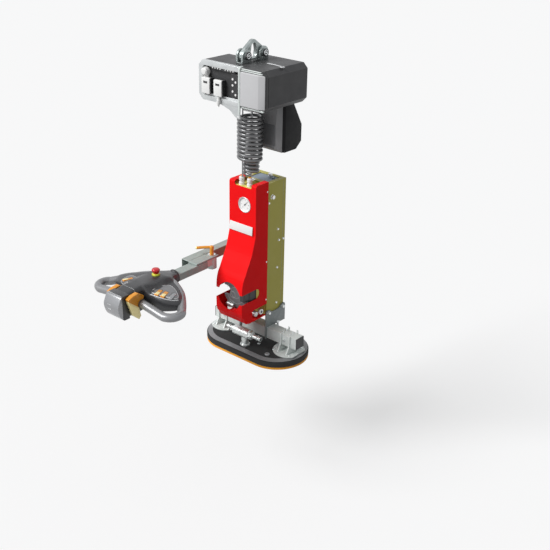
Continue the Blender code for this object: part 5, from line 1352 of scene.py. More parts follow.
    def grip_line(self, side: int) -> Line:
        """Draw a handle's middle line from the nose, round the bend and along the wing.

        Args:
            side: Minus 1 for the left handle and 1 for the right.

        Returns:
            The line.
        """
        root = self.nose - self.grip_insert
        front = self.front + self.grip_backset
        high, low = self.grip_high, self.grip_low
        bend = [(self.grip_reach + self.grip_bend * math.sin(a), front + self.grip_bend
                 * (1 - math.cos(a)), low) for a in (math.radians(step * 16) for step in range(10))]
        level = self.nose + self.trigger_width + 0.006
        root_leg = [(root, front, high), (self.nose, front, high), (level, front, high),
                    ((level + self.grip_reach) / 2, front, (high + low) / 2)]
        tail = [(across, front + back, low + rise) for across, back, rise in self.grip_tail]
        end = (self.grip_end[0], front + self.grip_end[1], low + self.grip_end[2])
        line = smooth_line(root_leg + bend + tail + [end], 4)
        return [(self.middle + side * x, y, z) for x, y, z in line]

    def on_wing(self, pair: Point, side: int = 1, lift: float = 0.0) -> tuple[float, float, float]:
        """Return a point over a wing's skin.

        Args:
            pair: The distance from the middle and from the housing's rear.
            side: Minus 1 for the left wing and 1 for the right.
            lift: The height over the skin.

        Returns:
            The point.
        """
        across, back = pair
        return (self.middle + side * across, self.rear - back, self.wing(across, back) + lift)

    def wing_plate(self, side: int, corners: Sequence[Point]) -> Shape:
        """Return a thin plate that follows the wing's skin inside a line.

        Args:
            side: Minus 1 for the left wing and 1 for the right.
            corners: Pairs of the distance from the middle and from the housing's rear.

        Returns:
            The plate, as a closed shape.
        """
        loop = [Vector(pair) for pair in looped(corners, 5)]
        centre = sum(loop, Vector((0, 0))) / len(loop)
        shape = bmesh.new()
        rings = []
        for step in range(8):
            spots = [centre.lerp(spot, 1 - 0.12 * step) for spot in loop]
            rings.append([shape.verts.new(self.on_wing(spot, side, self.plate_lift)) for spot in spots])
        for outer, inner in zip(rings, rings[1:]):
            for index in range(len(loop)):
                ahead = (index + 1) % len(loop)
                shape.faces.new((outer[index], outer[ahead], inner[ahead], inner[index]))
        shape.faces.new(rings[-1])
        under = bmesh.ops.extrude_face_region(shape, geom=shape.faces[:], use_keep_orig=True)["geom"]
        bmesh.ops.translate(shape, vec=(0, 0, -self.plate_depth),
                            verts=[item for item in under if isinstance(item, bmesh.types.BMVert)])
        bmesh.ops.recalc_face_normals(shape, faces=shape.faces)
        return shape

    def build(self) -> None:
        """Make every part of the hand control."""
        self.build_housing()
        self.build_cap()
        self.build_grips()
        self.build_panels()
        self.build_buttons()
        self.build_triggers()
        self.build_stop()

    def build_housing(self) -> None:
        """Make the moulded housing, with the light seam across its nose and the dark collar at its rear.
        """
        shell = self.piece("control_shell", self.housing_shape(), CONTROL_SKIN, ["control_housing"],
                           angle=50.0)
        carve(shell, [self.pocket(body) for body in self.keys], 50.0)
        row = self.rows()[-2]
        y = self.rear - row[0]
        across = self.nose + 0.0004
        seam = [(self.middle - across, y, self.low + 0.03), (self.middle - across, y, self.top - 0.016),
                (self.middle - across + 0.01, y, self.top - 0.0015),
                (self.middle + across - 0.01, y, self.top - 0.0015),
                (self.middle + across, y, self.top - 0.016), (self.middle + across, y, self.low + 0.03)]
        self.piece("nose_seam", tube(seam, 0.0008, 3), PALE_TRIM, angle=60.0)
        collar_row = self.rows()[0]
        collar = lathe([(0.0, 0), (0.03, 0), (0.034, 0.003), (0.036, 0.012), (0.0345, 0.016),
                        (0.0, 0.016)], 48, Axis.Y,
                       (self.middle, self.rear - 0.002, (collar_row[2] + collar_row[5]) / 2 + 0.001))
        self.piece("stem_collar", collar, DARK_BLOCK)

    def build_cap(self) -> None:
        """Make the bulging nose cap: a dark top, a front painted lighter as the lit face, a painted
        highlight line where they meet, and two short ribs.
        """
        back = self.front - 0.0003
        high = self.top - self.cap_drop
        tall = high - self.low
        bulge = [(0.62, 0.99), (0.74, 0.93), (0.98, 0.64), (0.98, 0.46), (0.8, 0.18), (0.48, 0.0)]
        front = [(back - out * self.cap_length, self.low + up * tall) for out, up in bulge]
        outline = [(back, self.low), (back, high)] + smooth_line(front, 6)
        low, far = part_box("nose_cap")
        middle, wide = (low.x + far.x) / 2, far.x - low.x
        split = (0, back - 0.6 * self.cap_length, 0)
        body = sliced(prism(outline, wide, Axis.X, middle, 0.006, 3, 25.0), split, (0, -1, 0))
        self.piece("nose_cap_body", body, CONTROL_SKIN, ["nose_cap"], angle=30.0)
        # The cap's front is painted lighter than its top: the lit face.
        face = sliced(prism(outline, wide, Axis.X, middle, 0.01, 5, 25.0), split, (0, 1, 0))
        self.piece("nose_cap_lit_face", face, CAP_SKIN, ["nose_cap"], angle=40.0)
        # A pale line along the top edge of the front: a painted highlight.
        edge = [(middle - wide / 2 + 0.004, split[1], high + 0.0002),
                (middle + wide / 2 - 0.004, split[1], high + 0.0002)]
        self.piece("nose_cap_edge_highlight", tube(edge, 0.0014, 4), PALE_TRIM, angle=60.0)
        for index, up in enumerate((0.62, 0.44)):
            place = (middle - 0.012, back - 0.975 * self.cap_length, self.low + up * tall)
            self.piece(f"cap_rib_{index + 1}", block((0.024, 0.004, 0.003), place, 0.0012), PALE_TRIM)

    def build_grips(self) -> None:
        """Make the two loop handles with the sleeves on their roots."""
        for side, name in ((-1, "left"), (1, "right")):
            line = self.grip_line(side)
            self.piece(f"loop_{name}", tube(line, self.grip_radius, 9), GRIP_SKIN, [f"handle_{name}"],
                       angle=60.0)
            ring = lathe([(0.0203, 0), (0.0215, 0.0005), (0.0215, 0.0035), (0.0203, 0.004)], 40, Axis.X,
                         (self.middle + side * (self.nose + self.trigger_width + 0.0075) - 0.002,
                          self.front + self.grip_backset, self.grip_high), closed=True)
            self.piece(f"loop_ring_{name}", ring, CONTROL_SKIN)

    def build_panels(self) -> None:
        """Make the raised rims round the buttons on both wings."""
        right = [(0.073, 0.15), (0.08, 0.122), (0.096, 0.108), (0.14, 0.118), (0.18, 0.14),
                 (0.192, 0.158), (0.176, 0.178), (0.12, 0.204), (0.086, 0.212), (0.074, 0.196)]
        left = [(0.07, 0.156), (0.118, 0.15), (0.132, 0.164), (0.13, 0.2), (0.118, 0.222),
                (0.082, 0.226), (0.07, 0.206)]
        for side, corners, name in ((1, right, "right"), (-1, left, "left")):
            keys = self.keys[1:] if side > 0 else self.keys[:1]
            loop = [self.on_wing(pair, side) for pair in looped(corners, 5)]
            rim = self.piece(f"keypad_rim_{name}", tube(loop, 0.0017, 4, closed=True), PALE_TRIM,
                             angle=60.0)
            carve(rim, [self.pocket(body) for body in keys], 60.0)
            plate = self.piece(f"keypad_plate_{name}", self.wing_plate(side, corners), KEYPAD_SKIN,
                               angle=50.0)
            carve(plate, [self.pocket(body) for body in keys], 50.0)
        for index, (sweep, width) in enumerate((
                (((0.088, 0.226), (0.13, 0.215), (0.164, 0.2), (0.19, 0.18), (0.203, 0.162)),
                 0.003),
                (((0.076, 0.219), (0.12, 0.208), (0.16, 0.19), (0.188, 0.17), (0.198, 0.156)),
                 0.0014))):
            line = [self.on_wing(pair, lift=-0.0004) for pair in smooth_line(sweep, 6)]
            self.piece(f"wing_light_line_{index + 1}", tube(line, width, 4), PALE_TRIM, angle=60.0)

    @staticmethod
    def button_turn(body: Body) -> Matrix:
        """Turn a button about its middle: its length runs back, its top follows the wing.

        Args:
            body: The button's body.

        Returns:
            The turn.
        """
        low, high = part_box(body.value)
        side = -1 if body is Body.BUTTON_LEFT else 1
        return (Matrix.Translation((low + high) / 2) @ Matrix.Rotation(side * math.radians(20), 4, "Z")
                @ Matrix.Rotation(side * math.radians(8), 4, "Y"))

    def pocket(self, body: Body) -> Shape:
        """Return the pocket that a button sinks into, a little wider and deeper than the button."""
        size = (self.rocker[0] + 2 * self.key_gap, self.rocker[1] + 2 * self.key_gap, self.pocket_depth)
        return placed(block(size, (0, 0, 0.001), 0.003, 3), self.button_turn(body))

    def build_buttons(self) -> None:
        """Make the buttons: rounded rockers with a light end, and an outlined reset key."""
        for body in self.keys:
            turn = self.button_turn(body)
            reset = body is Body.BUTTON_RESET
            rocker = placed(block(self.rocker, (0, 0, 0), 0.0028, 3), turn)
            self.piece(f"{body.value}_rocker", rocker, CAP_SKIN if reset else GOLD, [body.value],
                       body=body)
            if reset:
                edge = [(-0.0085, -0.0235, 0.0069), (0.0085, -0.0235, 0.0069), (0.0085, 0.0235, 0.0069),
                        (-0.0085, 0.0235, 0.0069)]
                outline = placed(tube(edge, 0.001, 3, closed=True), turn)
                self.piece(f"{body.value}_outline", outline, PALE_TRIM, angle=60.0, body=body)
            else:
                end = placed(block(self.light_end, (0, -0.0115, 0.0068), 0.0006), turn)
                self.piece(f"{body.value}_light_end", end, BRIGHT_GOLD, body=body)

    def build_triggers(self) -> None:
        """Make each finger trigger: a hood round the handle's root and a tongue below it, in a lighter
        yellow that is partly its own colour and partly painted light, since it faces away from the key.
        """
        for name in (Body.TRIGGER_LEFT, Body.TRIGGER_RIGHT):
            box = Extent.of(name.value)
            middle = (box.low.x + box.high.x) / 2
            split = Vector((0, self.front + self.grip_backset - 0.013, self.grip_high - 0.016))
            lean = Vector((0, -0.62, -0.78))
            hood = sliced(copy_of(name.value), split, lean)
            self.piece(f"{name.value}_hood", rounded(hood, 0.003, 3, 40.0), GOLD, [name.value], body=name)
            # The tongue is painted lighter than the hood: partly its own yellow, partly painted light.
            tongue = sliced(copy_of(name.value), split - lean * 0.003, -lean)
            shrink = about((middle, 0, 0), Matrix.Scale(0.76, 4, (1, 0, 0)))
            self.piece(f"{name.value}_tongue", rounded(placed(tongue, shrink), 0.0035, 3, 30.0),
                       BRIGHT_GOLD, [name.value], body=name)

    def build_stop(self) -> None:
        """Make the wide red stop cap on its yellow-green base."""
        ring = Extent.of("stop_ring")
        r, tall = ring.radius, ring.tall
        base = [(0.01, tall), (0.01, 0.003), (r * 0.94, 0), (r * 0.97, 0.001), (r, tall - 0.002),
                (r - 0.002, tall)]
        self.piece("stop_base", lathe(base, 48, centre=ring.foot, closed=True), STOP_YELLOW,
                   ["stop_ring"])
        button = Extent.of("stop_button")
        r, tall = button.radius, button.tall
        head = tall - 0.022
        cap = [(0, 0.006), (0.0095, 0.006), (0.0095, head), (r * 0.72, head + 0.001),
               (r * 0.94, head + 0.01), (r, head + 0.0135), (r * 0.97, head + 0.0165),
               (r * 0.8, tall - 0.0015), (r * 0.5, tall), (0, tall)]
        self.piece("stop_cap", lathe(cap, 48, centre=(*ring.foot[:2], button.low.z)), STOP_RED,
                   ["stop_button"], body=Body.STOP)


@dataclass
class Hoist(Assembly):
    """Electric hoist: cast housing, open electrics box, grey end cover, seal strip and light trims."""

    body: Body = Body.HOIST
    front: float = -0.2003
    strip: float = 0.051
    floor: float = 1.366
    screw_spots: tuple = ((0.022, 1.386), (0.004, 1.4), (0.004, 1.428), (0.022, 1.444), (0.004, 1.456))

    def build(self) -> None:
        """Make the end frame, the electrics, the cover's trims and the strip on the top."""
        for name, way, bevel, finish in (("electrics_box_frame", 1, 0.0025, END_ZINC),
                                         ("motor_end_frame", -1, 0.003, HOIST_COAT)):
            half = sliced(copy_of("end_frame"), (self.strip + 0.006, 0, 0), (way, 0, 0))
            self.piece(name, rounded(half, bevel, 3), finish, ["end_frame"])
        self.soften("end_cover", "motor_end_cover", COVER_GREY, 0.003, sharp=20.0)
        self.build_trims()
        self.build_electrics()

    def build_trims(self) -> None:
        """Make the ridges round the cover, the seal strip, the guide block and the strip on top."""
        face = self.front
        for index, (height, left, right) in enumerate(((1.5142, 0.064, 0.18), (1.507, 0.062, 0.188))):
            place = ((left + right) / 2, face - 0.0012, height)
            self.piece(f"cover_ridge_{index + 1}", block((right - left, 0.007, 0.0046), place, 0.0018),
                       BASE_ZINC)
        ledge = block((0.13, 0.01, 0.008), (0.131, face - 0.0005, 1.3405), 0.0024)
        self.piece("cover_ledge", ledge, BASE_ZINC)
        seal = [(self.strip, -0.183, 1.5172), (self.strip, -0.1935, 1.5172),
                (self.strip, face - 0.0015, 1.5125), (self.strip, face - 0.0025, 1.5),
                (self.strip, face - 0.0025, 1.4), (self.strip, face - 0.0025, 1.332),
                (self.strip - 0.001, face - 0.0022, 1.302)]
        wide = about((self.strip, 0, 0), Matrix.Scale(1.5, 4, (1, 0, 0)))
        self.piece("seal_strip", placed(tube(smooth_line(seal, 5), 0.0046, 5), wide), BASE_ZINC,
                   angle=60.0)
        tail = merged([tube([(0.043, face + 0.004, 1.334), (0.043, face + 0.004, 1.292)], 0.003, 4),
                       block((0.013, 0.012, 0.009), (0.042, face + 0.006, 1.2885), 0.003)])
        self.piece("drain_tube", tail, WHITE, angle=60.0)
        self.piece("guide_block", block((0.05, 0.03, 0.012), (0.086, -0.172, 1.3265), 0.002), WHITE)
        dots = [rod(0.0022, 0.004, Axis.Y, (0.12 + 0.01 * step, -0.1865, 1.329), segments=12)
                for step in range(4)]
        bar = block((0.058, 0.012, 0.009), (0.137, -0.179, 1.328), 0.0015)
        self.piece("lower_connector", bar, DARK_BLOCK)
        self.piece("connector_pins", merged(dots), WHITE)
        screw = cap_screw((0.0605, face - 0.0002, 1.348), Axis.Y, 0.0048, -1, 0.5)
        self.piece("frame_screw", screw, DARK_BLOCK)
        handle = tube([(0.089, -0.053, 1.5192), (0.12, -0.0545, 1.52), (0.15, -0.057, 1.52),
                       (0.178, -0.06, 1.5195)], 0.0034, 5)
        boss = lathe([(0.0, 0), (0.0115, 0), (0.0115, 0.002), (0.009, 0.004), (0.0046, 0.004),
                      (0.0042, 0.001), (0, 0.001)], 28, centre=(0.186, -0.064, 1.5182))
        self.piece("top_latch", merged([handle, boss]), PALE_TRIM, angle=50.0)

    def build_electrics(self) -> None:
        """Make the contactors, the terminals, the round plug, the gland and the lower plate."""
        for name in ("contactor_left", "contactor_right"):
            box = Extent.of(name)
            x, y, z = box.middle
            wide, deep, tall = box.size
            front, top = box.low.y, box.high.z
            self.piece(f"{name}_body", block((wide, deep - 0.0055, tall), (x, y + 0.0027, z), 0.0016),
                       CONTROL_SKIN, [name])
            face = merged([block((wide - 0.001, 0.007, tall - 0.001), (x, front + 0.0035, z), 0.002),
                           block((wide * 0.9, 0.012, 0.003), (x, front + 0.01, top - 0.0005), 0.001)])
            self.piece(f"{name}_face", face, WHITE, [name])
            window = block((wide * 0.5, 0.001, 0.01), (x, front + 0.0002, top - 0.02), 0.0003)
            self.piece(f"{name}_window", window, DARK_BLOCK)
        screws = [rod(0.0054, 0.003, Axis.Y, (x, -0.1958, z), 0.0006, 20) for x, z in self.screw_spots]
        self.piece("terminal_screws", merged(screws), WHITE)
        top_row = block((0.15, 0.016, 0.014), (-0.055, -0.1895, 1.4905), 0.0015)
        self.piece("terminal_row", top_row, DARK_BLOCK)
        dots = [block((0.0058, 0.003, 0.0062), (-0.118 + 0.0158 * step, -0.1982, 1.4905), 0.001)
                for step in range(9) if step != 4]
        self.piece("terminal_row_tags", merged(dots), WHITE)
        plate = block((0.225, 0.003, self.floor - 1.338), (-0.072, -0.189, (self.floor + 1.338) / 2),
                      0.001)
        self.piece("electrics_floor_plate", plate, END_ZINC)
        # Dark disc on the lower plate: painted shade standing for the inside of a hole.
        hole = rod(0.0042, 0.001, Axis.Y, (-0.03, -0.1907, 1.351), segments=24)
        self.piece("plate_hole_shade", hole, DARK_BLOCK)
        plug = [(0, 0), (0.019, 0), (0.021, 0.004), (0.021, 0.012), (0.0175, 0.018), (0.0175, 0.024),
                (0.012, 0.029), (0, 0.03)]
        round_plug = placed(lathe(plug, 36), Matrix.Translation((-0.166, -0.182, 1.466))
                            @ Matrix.Rotation(math.pi / 2, 4, "X"))
        wing = block((0.03, 0.01, 0.02), (-0.166, -0.19, 1.448), 0.003)
        self.piece("round_plug", merged([round_plug, wing]), WHITE)
        gland = Extent.of("cable_gland")
        r, tall = gland.radius, gland.tall
        profile = [(0, 0), (r * 0.4, 0), (r * 0.4, 0.006), (r * 0.78, 0.008), (r * 0.92, 0.014),
                   (r, 0.02), (r, 0.032), (r * 0.82, 0.034), (r * 0.82, tall), (0, tall)]
        self.piece("gland_nut", lathe(profile, 24, centre=gland.foot), WHITE, ["cable_gland"])


@dataclass
class Suspension(Assembly):
    """Lug pairs, their pins with ringed heads, and the eye between them."""

    body: Body = Body.HOIST

    def build(self) -> None:
        """Round the lugs and the eye, and make the pins' ringed heads."""
        for name in ("lug_front", "lug_rear", "suspension_eye"):
            self.soften(name, f"{name}_forging", LUG_ZINC, 0.0018)
        for name in ("lug_pin_front", "lug_pin_rear"):
            pin = Extent.of(name)
            place = (pin.high.x - 0.0068, pin.middle.y, pin.middle.z)
            r = pin.size.y / 2 + 0.0004
            collar = [(0, 0.0015), (r, 0.0015), (r, 0.0085), (r * 0.92, 0.0098), (r * 0.84, 0.0072),
                      (0, 0.0072)]
            self.piece(f"{name}_collar", lathe(collar, 36, Axis.X, place), DARK_BLOCK)
            ring = [(r * 0.46, 0.007), (r * 0.78, 0.007), (r * 0.78, 0.0088), (r * 0.7, 0.0098),
                    (r * 0.54, 0.0098), (r * 0.46, 0.0088)]
            centre = [(0, 0.007), (r * 0.3, 0.007), (r * 0.3, 0.0092), (r * 0.2, 0.0103), (0, 0.0103)]
            washer = merged([lathe(ring, 36, Axis.X, place, closed=True),
                             lathe(centre, 24, Axis.X, place)])
            self.piece(f"{name}_washer", washer, STEEL)


@dataclass
class ChainBucket(Assembly):
    """Black chain bucket behind the chain, with its front painted lit grey and a darker panel of painted
    shade below the crease.
    """

    body: Body = Body.HOIST
    split: float = 0.0285
    crease: float = 1.2227

    def build(self) -> None:
        """Make the black body, the front painted lit grey, the crease in the same lit grey and the lower
        panel painted darker as shade.
        """
        # The front half is painted lit grey; the rest keeps the black.
        for name, way, edge, finish in (("bucket_body", -1, (0.003, 3, 25.0), BUCKET_BLACK),
                                        ("bucket_lit_front_shell", 1, (0.002, 2, 30.0), BUCKET_LIT_FRONT)):
            half = sliced(copy_of("chain_bucket"), (0, self.split, 0), (0, way, 0))
            self.piece(name, rounded(half, *edge), finish, ["chain_bucket"])
        low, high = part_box("chain_bucket")
        left, right = low.x + 0.036, high.x - 0.037
        # Darker grey lower panel: painted shade on the bent lower front.
        outline = [(left, low.z + 0.03), (right, low.z + 0.03)]
        outline += arc((right - 0.012, self.crease - 0.018), 0.012, 0, 90, 5)
        outline.append((left, self.crease - 0.006))
        panel = prism(outline, 0.0012, Axis.Y, low.y - 0.0002, 0.0004)
        self.piece("bucket_lower_shade_panel", panel, PUMP_GREY)
        # The crease bar wears the front's painted lit grey.
        bar = block((right - left, 0.0016, 0.0018), ((left + right) / 2, low.y - 0.0003, self.crease),
                    0.0006)
        self.piece("bucket_crease", bar, BUCKET_LIT_FRONT)


@dataclass
class Tower(Assembly):
    """Olive tower box with its bolts, lid, head plate, valves and chain anchor."""

    side: float = 0.085
    bolts: tuple = ((-0.024, 0.83), (0.049, 0.672), (0.059, 0.609), (0.093, 0.607), (0.048, 0.459),
                    (0.048, 0.257))
    bracket_bolts: tuple = ((-0.018, 0.221), (0.095, 0.218))

    def build(self) -> None:
        """Make the bolts on both sides, the lid's bolt, the seam lines, the head's fittings, and the
        lit-olive rails and liner that paint light into the slots and the notch.
        """
        for side, name in SIDES:
            heads = [hex_bolt((side * self.side, y, z), Axis.X, 0.01, side) for y, z in self.bolts]
            self.piece(f"tower_bolts_{name}", merged(heads), STEEL)
            large = hex_bolt((side * self.side, 0.002, 0.856), Axis.X, 0.02, side)
            self.piece(f"tower_large_bolt_{name}", large, STEEL)
            low = [hex_bolt((side * (self.side + 0.0083), y, z), Axis.X, 0.015, side)
                   for y, z in self.bracket_bolts]
            self.piece(f"bracket_bolts_{name}", merged(low), STEEL)
        for name in ("bracket_left", "bracket_right"):
            self.soften(name, f"{name}_plate", PLATE_GREY, 0.0014, 2)
        self.piece("lid_bolt", hex_bolt((0.014, 0.07, 0.9325), Axis.Z, 0.019), STEEL)
        for side, name in SIDES:
            # Thin lit-olive rails in the side slots: painted light, showing the olive as brightly lit
            # where the slot leaves it in shade.
            rail = block((0.002, 0.078, 0.13), (side * 0.0822, -0.0675, 0.363), 0.0006)
            self.piece(f"cover_rail_painted_light_{name}", rail, OLIVE_LIT_COPY)
            heads = [cap_screw((side * 0.0868, -0.0365, z), Axis.X, 0.0042, side)
                     for z in (0.893, 0.518, 0.305)]
            self.piece(f"cover_screws_{name}", merged(heads), STEEL)
        rear = [hex_bolt((x, 0.108, z), Axis.Y, 0.01, 1) for x in (-0.06, 0.06)
                for z in (0.26, 0.56, 0.88)]
        self.piece("tower_rear_bolts", merged(rear), STEEL)
        # Lit-olive liner on the tower's front in the notch: painted light over the shaded olive.
        liner = block((0.15, 0.0004, 0.125), (0.0, -0.0284, 0.268))
        self.piece("tower_front_painted_light_liner", liner, OLIVE_LIT_COPY)
        seam = block((0.001, 0.0015, 0.7), (self.side - 0.0002, 0.088, 0.567), 0.0003)
        self.piece("tower_seam", seam, PLATE_GREY)
        for name in ("valve_block_left", "valve_block_right"):
            valve = Extent.of(name)
            r, tall = valve.radius, valve.tall
            body = [(0, 0), (r, 0), (r, tall * 0.3), (r * 0.8, tall * 0.34), (r * 0.8, tall * 0.52),
                    (r * 0.95, tall * 0.56), (r * 0.95, tall * 0.86), (r * 0.7, tall * 0.92),
                    (r * 0.7, tall), (0, tall)]
            self.piece(f"{name}_fitting", lathe(body, 28, centre=valve.foot), WHITE, [name])
            cap = rod(r * 0.55, 0.003, Axis.Z, (*valve.foot[:2], valve.high.z + 0.0012), 0.0008, 20)
            self.piece(f"{name}_cap", cap, GOLD)


@dataclass
class FrontCover(Assembly):
    """Red cover's bare plate and rim screws, the gauge with its dial, and the pump in the window."""

    face: float = -0.1213
    back: float = -0.0283
    gauge: Point = (0.013, 0.83)
    radius: float = 0.039
    dial_start: float = 225.0
    long_mark: Point = (0.005, 0.0003, 0.0009)
    short_mark: Point = (0.0028, 0.0003, 0.0005)
    mark_inset: float = 0.0078
    number_inset: float = 0.0175
    plate: Point = (-0.0055, -0.1268, 0.7045)

    def build(self) -> None:
        """Make the plate, the gauge, the needle and the pump's face."""
        plate = block((0.151, 0.0016, 0.045), self.plate, 0.0006)
        tilt = about((0, *self.plate[1:]), Matrix.Rotation(math.radians(-4.0), 4, "X"))
        self.piece("bare_plate", placed(plate, tilt), WHITE)
        self.build_gauge()
        self.build_pump()

    def build_gauge(self) -> None:
        """Make the gauge's can, its dial with plain marks and numbers, its glass rim and its needle."""
        x, z = self.gauge
        face, r = self.face, self.radius
        bowl = [(0, 0.022), (r - 0.001, 0.022), (r, 0.02), (r, -0.0008), (r - 0.002, -0.0022),
                (r - 0.0042, -0.0006), (r - 0.0046, 0.0042), (0, 0.0042)]
        can = lathe(bowl, 64, Axis.Y, (x, face, z))
        stem = rod(0.009, self.back - 0.0003 - (face + 0.021), Axis.Y,
                   (x, (self.back - 0.0003 + face + 0.021) / 2, z), segments=24)
        self.piece("gauge_can", merged([can, stem]), DIAL_WHITE, ["gauge_body"])
        ring = [(r - 0.0001, 0.001), (r + 0.0012, 0.0006), (r + 0.0014, -0.0012), (r - 0.0002, -0.0026)]
        self.piece("gauge_rim", lathe(ring, 64, Axis.Y, (x, face, z), closed=True), PALE_TRIM)
        marks = []
        for step in range(31):
            angle = math.radians(self.dial_start - 9 * step)
            size = self.long_mark if step % 5 == 0 else self.short_mark
            place = self.on_dial(angle, r - self.mark_inset - size[0] / 2)
            marks.append(block(size, place, turn=Matrix.Rotation(-angle, 4, "Y")))
        for step in range(7):
            place = self.on_dial(math.radians(self.dial_start - 45 * step), r - self.number_inset)
            marks.append(self.number(str(2 * step), place))
        self.piece("dial_marks", merged(marks), DIAL_INK)
        hub = rod(0.003, 0.0022, Axis.Y, (x, face + 0.0022, z), 0.0005, 24)
        angle = math.radians(45)
        needle = prism([(-0.0075, -0.0009), (0.0, -0.0012), (0.0235, -0.0003), (0.0235, 0.0003),
                        (0.0, 0.0012), (-0.0075, 0.0009)], 0.0008, Axis.Y, 0.0)
        turned = placed(needle, Matrix.Translation((x, face + 0.0022, z))
                        @ Matrix.Rotation(-angle, 4, "Y"))
        self.piece("gauge_pointer", merged([turned, hub]), DIAL_INK, ["gauge_needle"], body=Body.NEEDLE)

    def on_dial(self, angle: float, reach: float) -> Point:
        """Return a point on the dial at an angle in radians and a distance from its middle."""
        x, z = self.gauge
        return (x + reach * math.cos(angle), self.face + 0.0041, z + reach * math.sin(angle))

    @staticmethod
    def number(label: str, place: Point) -> Shape:
        """Make a number of the dial, thin and raised.

        Args:
            label: The number.
            place: Its middle.

        Returns:
            The shape.
        """
        curve = bpy.data.curves.new("number", "FONT")
        curve.body = label
        curve.size = 0.0068
        curve.extrude = 0.00015
        curve.align_x = "CENTER"
        curve.align_y = "CENTER"
        return placed(shape_of(curve), Matrix.Translation(place) @ Matrix.Rotation(math.pi / 2, 4, "X"))

    def build_pump(self) -> None:
        """Make the outline arcs on the pump's plate and its nose, and the end of the manifold."""
        plate = Extent.of("pump_plate")
        front = plate.low.y - 0.0001
        centre = (0.0, (plate.low.z + plate.high.z) / 2)
        shapes = []
        for radius, start, end in ((0.058, 20, 160), (0.058, 200, 340), (0.03, 0, 360)):
            line = [(x, front, z) for x, z in arc(centre, radius, start, end, 36)]
            shapes.append(tube(line, 0.0009, 3))
        self.piece("pump_outline", merged(shapes), PALE_TRIM, angle=60.0)
        nose = [(-0.014, 0.349), (0.014, 0.349), (0.014, 0.377), (-0.014, 0.377)]
        front = Extent.of("pump_motor").low.y - 0.0001
        line = [(x, front, z) for x, z in looped(nose, 4)]
        self.piece("nose_outline", tube(line, 0.0008, 3, closed=True), PALE_TRIM, angle=60.0)
        pipe = Extent.of("manifold")
        _, y, z = pipe.middle
        nut = lathe([(0, 0), (0.015, 0), (0.015, 0.008), (0.0138, 0.0105), (0.0085, 0.0105),
                     (0.0, 0.0098)], 32, Axis.X, (pipe.high.x - 0.0105, y, z))
        self.piece("manifold_nut", nut, TEE_STEEL)
        coupling = lathe([(0, 0), (0.011, 0), (0.011, 0.008), (0.015, 0.01), (0.015, 0.024),
                          (0.0115, 0.026), (0.0115, 0.036), (0.0135, 0.037), (0.0135, 0.048),
                          (0, 0.048)], 32, Axis.X, (-0.052, -0.176, 0.291))
        self.piece("pump_coupling", coupling, TEE_STEEL)
        # Dark disc in the manifold's end: painted shade standing for the inside of its bore.
        bore = lathe([(0, 0), (0.0072, 0), (0.0072, 0.0004), (0, 0.0004)], 24, Axis.X,
                     (pipe.high.x - 0.0002, y, z))
        self.piece("manifold_bore_shade", bore, DARK_BLOCK)


@dataclass
class Base(Assembly):
    """Beam, feet and vacuum tee between the brackets and the pad."""

    bolt_spots: tuple = (-0.232, -0.188, 0.188, 0.232)
    screw_spots: tuple = (-0.262, -0.158, 0.158, 0.262)
    tee: Point = (-0.108, 0.11)

    def build(self) -> None:
        """Round the feet, screw them down, bolt the beam, pin the forks, add the bracket's stud and
        refine the tee.
        """
        for name in ("foot_left", "foot_right"):
            self.soften(name, f"{name}_casting", BASE_ZINC, 0.0012, 2, 50.0)
        top = Extent.of("cross_beam").high.z - 0.0002
        heads = [hex_bolt((x, y, top), Axis.Z, 0.009) for x in self.bolt_spots for y in (-0.014, 0.014)]
        self.piece("beam_bolts", merged(heads), STEEL)
        cross = [rod(0.0055, 0.074, Axis.Y, (x, 0, 0.109), 0.001, 20) for x in (-0.21, 0.21)]
        self.piece("fork_pins", merged(cross), STEEL)
        screws = [cap_screw((x, y, 0.0445), Axis.Z, 0.0055) for x in self.screw_spots
                  for y in (-0.052, 0.052)]
        self.piece("foot_screws", merged(screws), STEEL)
        upright = merged([rod(0.0065, 0.03, Axis.Z, (0.112, 0.036, 0.143), 0.001, 20),
                          hex_bolt((0.112, 0.036, 0.156), Axis.Z, 0.014)])
        self.piece("bracket_stud", upright, STEEL)
        self.build_tee()

    def build_tee(self) -> None:
        """Make the rings, the nut and the pipe ends on the vacuum tee."""
        high = Extent.of("vacuum_tee").high
        y, z = self.tee
        collars = []
        for x, r, wide in ((-0.064, 0.0195, 0.004), (-0.07, 0.0165, 0.004), (-0.096, 0.0115, 0.005),
                           (0.05, 0.0185, 0.005), (0.094, 0.0135, 0.006), (0.112, 0.013, 0.005)):
            collars.append(lathe([(0, 0), (r, 0), (r + 0.0006, wide / 2), (r, wide), (0, wide)], 32,
                                 Axis.X, (x, y, z)))
        self.piece("tee_rings", merged(collars), TEE_STEEL)
        self.piece("tee_nut", rod(0.0195, 0.01, Axis.X, (0.06, y, z), 0.001, 6), TEE_STEEL)
        # Dark disc in the tee's pipe end: painted shade standing for the inside of its bore.
        end = lathe([(0, 0), (0.0075, 0), (0.0075, 0.0004), (0, 0.0004)], 24, Axis.X,
                    (high.x - 0.0001, y, z))
        self.piece("tee_pipe_bore_shade", end, DARK_BLOCK)
        top = lathe([(0, 0), (0.0145, 0), (0.0125, 0.004), (0.0125, 0.006), (0.0075, 0.008),
                     (0, 0.0082)], 32, centre=(0.009, y, high.z - 0.0082))
        self.piece("tee_cap", top, TEE_STEEL)


